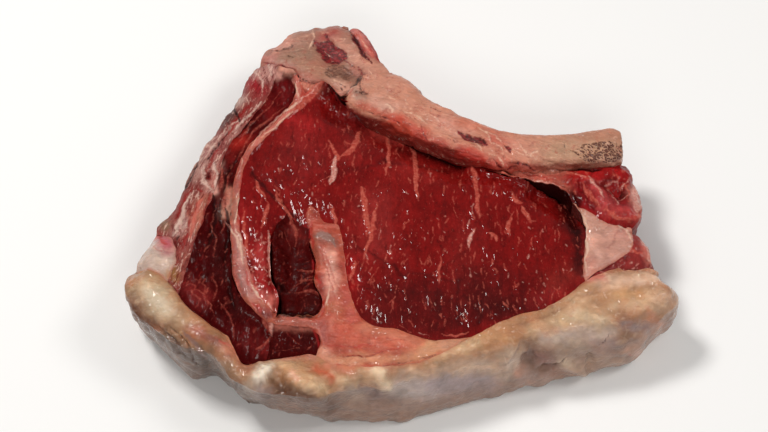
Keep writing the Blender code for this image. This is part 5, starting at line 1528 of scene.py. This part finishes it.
def fat(name):
    """Firm raw fat and gristle: waxen, faintly lobed and veined, a little see-through, with painted highlights
    on its paler lobes.
    """
    shade = Shade(name)
    marks = shade.marks()
    lobes = shade.cells((4.2, 3.2, 3.6), "SMOOTH_F1", 0.6)
    clouds = shade.noise(9.0, 2.5, 0.5, 0.6, 2.0)
    streaks = shade.noise((5.0, 1.5, 2.4), 3.0, 0.6, 0.8, 5.0)
    lumps = shade.noise((4.4, 3.2, 3.6), 2.0, 0.5, 0.5, 73.0)
    grain = shade.noise(0.8, 3.0, 0.65, 0.0, 9.0)
    stringy = 0.18 if name == "fat_cap" else 0.45
    light = shade.raised(
        0.96 if name == "fat_cap" else 1.03,
        (clouds, 0.9), (streaks, stringy), (lumps, 0.35), (grain, 0.08), (lobes, -0.1),
    )
    ground = shade.bright(shade.tone(), light)
    face = shade.number("SUBTRACT", 1.0, shade.attribute("place")[0])
    warm = shade.number("MULTIPLY", shade.ramp(shade.noise(10.0, 2.0, 0.5, 0.3, 13.0), 0.02, 0.26), face)
    ground = shade.over(ground, (196, 124, 84), warm, 0.3)
    ground = shade.edged(ground, (186, 90, 66), 0.3 if name in ("fat_cap", "seam_fat") else 0.5)
    # Paler lobes on the face: real cream fat, lightened further as painted highlight, toward a cream and
    # toward a lighter copy of the ground.
    pale_lobes_and_highlight = shade.sum_of((shade.noise((7.0, 5.0, 6.0), 2.0, 0.5, 0.8, 17.0), 1.0), (lumps, 0.3))
    pale_lobes_and_highlight = shade.number("MULTIPLY", shade.ramp(pale_lobes_and_highlight, 0.05, 0.2), face)
    whitish = 0.5 if name in ("fat_cap", "backstrap_tendon") else 0.1
    cream_and_highlight_ink = shade.blend(whitish, shade.bright(ground, 1.4), (220, 194, 164))
    ground = shade.over(ground, cream_and_highlight_ink, pale_lobes_and_highlight, 0.34)
    veins = shade.number("MULTIPLY", shade.veins((7.0, 3.0, 5.0), 0.016, 67.0, 2.0), warm)
    ground = shade.over(ground, (150, 60, 44), veins, 0.55)
    # On fat, the dark marks take a brown painted shade.
    colour = laid_on(
        shade, ground, marks,
        ((GREY, GREY_INK, 0.75), (SALMON, (190, 104, 90), 0.6), (CREAM, (222, 190, 168), 0.6),
         (RED, (168, 40, 32), 0.75), (CLEFT_SHADE, (74, 40, 30), 0.85)),
    )
    roughness = shade.raised(0.42, (grain, 0.3), (clouds, 0.25), clamped=True)
    height = shade.sum_of((grain, 0.2), (streaks, 1.2 * stringy), (lobes, 0.6), (lumps, 1.0), (clouds, 0.6))
    film = shade.wet(shade.noise(2.2, 1.0, 0.5, 0.6, 43.0), 9.0, 3.0, 1.6)
    shade.set(
        Specular_IOR_Level=0.2, Coat_Weight=0.8, Coat_Roughness=0.045, Coat_IOR=1.38,
        Subsurface_Weight=0.32, Subsurface_Radius=(1.0, 0.55, 0.32), Subsurface_Scale=1.8 * MM,
    )
    return shade.finish(colour, roughness, height, 0.8, 0.75, film)


def rim(name):
    """Torn tissue at the cut edge: strings of pink, white and dark red."""
    shade = Shade(name, TURNS.get(name, 0.0))
    marks = shade.marks(0.6, 2.0)
    strings = shade.noise((1.3, 6.0, 3.0), 4.0, 0.65, 1.4)
    patches = shade.noise((3.0, 8.0, 5.0), 4.0, 0.62, 1.0, 4.0)
    grain = shade.noise(0.8, 3.0, 0.65, 0.0, 9.0)
    light = shade.raised(1.0, (strings, 1.6), (patches, 0.8), (grain, 0.3))
    ground = shade.bright(shade.tone(), light)
    calm = shade.raised(1.0, (shade.attribute("place")[0], -0.6))
    raw = shade.ramp(shade.sum_of((patches, 1.0), (strings, 0.6)), 0.03, 0.15)
    raw = shade.number("MULTIPLY", raw, calm)
    ground = shade.over(ground, (96, 14, 15), raw, 0.8)
    scraps = shade.ramp(shade.sum_of((patches, -1.0), (strings, 0.9)), 0.07, 0.2)
    scraps = shade.number("MULTIPLY", scraps, calm)
    ground = shade.over(ground, (220, 180, 166), scraps, 0.7)
    colour = laid_on(
        shade, ground, marks,
        ((GREY, GREY_INK, 0.8), (SALMON, SALMON_INK, 0.8), (RED, RED_INK, 0.8),
         (CREAM, (216, 182, 168), 0.85), (CLEFT_SHADE, CLEFT_SHADE_INK, 0.9)),
    )
    roughness = shade.raised(0.4, (grain, 0.3), (strings, 0.2), clamped=True)
    height = shade.sum_of((strings, 1.2), (grain, 0.4), (scraps, 0.3), (raw, -0.5))
    shade.set(
        Specular_IOR_Level=0.06, Coat_Weight=0.16, Coat_Roughness=0.08, Coat_IOR=1.35,
        Subsurface_Weight=0.15, Subsurface_Radius=(1.0, 0.35, 0.2), Subsurface_Scale=1.5 * MM,
    )
    return shade.finish(colour, roughness, height, 0.9, 0.6)


def bone(name):
    """Bone under a thin skin, with saw lines, and bare spongy bone where it is cut open."""
    shade = Shade(name, TURNS.get(name, 0.0))
    marks = shade.marks(stray=1.6)
    clouds = shade.noise(9.0, 4.0, 0.6, 0.6)
    lumps = shade.noise((4.6, 2.2, 3.2), 3.0, 0.6, 0.8, 71.0)
    scrapes = shade.noise((7.0, 1.0, 1.6), 3.0, 0.6, 0.5, 3.0)
    grain = shade.noise(0.8, 3.0, 0.65, 0.0, 9.0)
    light = shade.raised(1.0, (clouds, 0.5), (lumps, 0.6), (scrapes, 0.4), (grain, 0.12))
    ground = shade.bright(shade.tone(), light)
    flush = shade.sum_of((shade.noise(4.6, 4.0, 0.6, 0.6, 13.0), 1.0), (scrapes, 0.3))
    flush = shade.ramp(flush, 0.02, 0.24)
    ground = shade.over(ground, (178, 74, 58), flush, 0.5)
    ground = shade.edged(ground, (160, 58, 48), 0.5)
    pale = shade.ramp(shade.sum_of((lumps, 1.0), (shade.noise(2.2, 3.0, 0.6, 0.6, 77.0), 0.6)), 0.1, 0.3)
    ground = shade.over(ground, (222, 176, 152), pale, 0.5)
    skin = shade.number("MULTIPLY", shade.veins((5.0, 3.4, 4.0), 0.03, 51.0, 2.0), flush)
    ground = shade.over(ground, (222, 180, 160), skin, 0.5)
    cracks = shade.number("MULTIPLY", shade.veins((4.2, 2.2, 3.0), 0.024, 57.0, 2.2), flush)
    ground = shade.over(ground, (116, 34, 28), cracks, 0.7)
    pores = shade.cells((2.6, 1.5, 2.0), "DISTANCE_TO_EDGE", 1.2)
    holes = shade.sum_of((pores, 1.0), (shade.noise(3.0, 2.0, 0.6, 0.0, 21.0), 0.4))
    spongy = shade.number("MULTIPLY", marks[SPONGY], shade.ramp(holes, 0.08, 0.16))
    marrow = shade.ramp(shade.noise((1.7, 1.2, 1.4), 3.0, 0.65, 0.4, 27.0), -0.1, 0.16)
    red = shade.blend(marrow, (74, 5, 9), (146, 25, 33))
    specks = shade.ramp(shade.noise((1.6, 1.0, 1.2), 2.0, 0.6, 0.6, 59.0), 0.19, 0.26)
    red = shade.blend(specks, red, (230, 180, 170))
    colour = laid_on(
        shade, ground, marks,
        ((GREY, (128, 92, 76), 0.6), (SALMON, (190, 84, 64), 0.7), (RED, red, 0.96),
         (CREAM, (222, 178, 154), 0.75)),
    )
    open_share = 0.92 if name == "rib_bone" else 0.62
    colour = shade.over(colour, (88, 42, 33), spongy, open_share)
    # Painted shade in the dark clefts and cracks of the bone.
    colour = shade.over(colour, CLEFT_SHADE_INK, marks[CLEFT_SHADE], 0.9)
    roughness = shade.raised(0.5, (grain, 0.3), (clouds, 0.2), clamped=True)
    height = shade.sum_of(
        (grain, 0.3), (scrapes, 0.9), (lumps, 1.2), (clouds, 0.8), (skin, 0.2), (cracks, -0.3),
        (spongy, -1.4), (marks[RED], -0.3),
    )
    film = shade.sum_of((shade.noise((3.0, 2.0, 2.4), 1.5, 0.5, 0.6, 43.0), 3.0), (lumps, 1.0))
    shade.set(
        Specular_IOR_Level=0.25, Coat_Weight=0.5, Coat_Roughness=0.07, Coat_IOR=1.35,
        Subsurface_Weight=0.1, Subsurface_Radius=(1.0, 0.5, 0.3), Subsurface_Scale=1.2 * MM,
    )
    return shade.finish(colour, roughness, height, 0.8, 0.6, film)


MAKERS = {"lean": lean, "fat": fat, "rim": rim, "bone": bone}

# ---------------------------------------------------------------- stage

# The floor reaches FLOOR_HALF each way, just under the steak, and the camera sees as far as FAR_CLIP, in
# metres. Each lamp has a place, a size and a power.
WORLD_LIGHT = 0.2
LAMP_COLOUR = (1.0, 0.975, 0.94)
FLOOR_HALF = 3.0
FLOOR_LEVEL = -0.0002
FLOOR_PAINT = {"Base Color": (0.88, 0.88, 0.88, 1), "Roughness": 0.9, "Specular IOR Level": 0.1}
FAR_CLIP = 10.0
LAMPS = (
    ("key", (-0.55, 0.35, 1.1), (0.3, 0.25), 10.3),
    ("side", (0.75, 0.05, 0.95), (0.4, 0.4), 4.1),
    ("fill", (-0.1, -1.1, 0.9), (0.9, 0.5), 5.7),
)


def set_stage():
    """A plain pale floor, soft studio light, and the camera where the photograph was taken."""
    scene = bpy.context.scene
    scene.view_settings.view_transform = "Standard"
    scene.view_settings.look = "None"
    world = bpy.data.worlds.new("studio")
    world.use_nodes = True
    sky = world.node_tree.nodes["Background"]
    sky.inputs["Color"].default_value = (1.0, 1.0, 1.0, 1)
    sky.inputs["Strength"].default_value = WORLD_LIGHT
    scene.world = world
    mesh = bpy.data.meshes.new("floor")
    ends = ((-1, -1), (1, -1), (1, 1), (-1, 1))
    corners = [(x * FLOOR_HALF, y * FLOOR_HALF, FLOOR_LEVEL) for x, y in ends]
    mesh.from_pydata(corners, [], [(0, 1, 2, 3)])
    floor = bpy.data.objects.new("floor", mesh)
    scene.collection.objects.link(floor)
    paint = bpy.data.materials.new("floor")
    paint.use_nodes = True
    shader = paint.node_tree.nodes["Principled BSDF"]
    for key, value in FLOOR_PAINT.items():
        shader.inputs[key].default_value = value
    mesh.materials.append(paint)
    for name, place, size, power in LAMPS:
        light = bpy.data.lights.new(name, "AREA")
        light.shape = "RECTANGLE"
        light.size, light.size_y = size
        light.energy = power
        light.color = LAMP_COLOUR
        lamp = bpy.data.objects.new(name, light)
        lamp.location = place
        lamp.rotation_euler = (-Vector(place)).to_track_quat("-Z", "Y").to_euler()
        scene.collection.objects.link(lamp)
    camera = bpy.data.cameras.new("camera")
    camera.lens = VIEW_LENS
    camera.sensor_width = SENSOR_WIDTH
    camera.clip_end = FAR_CLIP
    holder = bpy.data.objects.new("camera", camera)
    holder.location = (EYE + np.array((*TO_MIDDLE, 0))) * MM
    holder.rotation_euler = (math.pi / 2 - VIEW_ELEVATION, 0, 0)
    scene.collection.objects.link(holder)
    scene.camera = holder


set_stage()
build_steak()
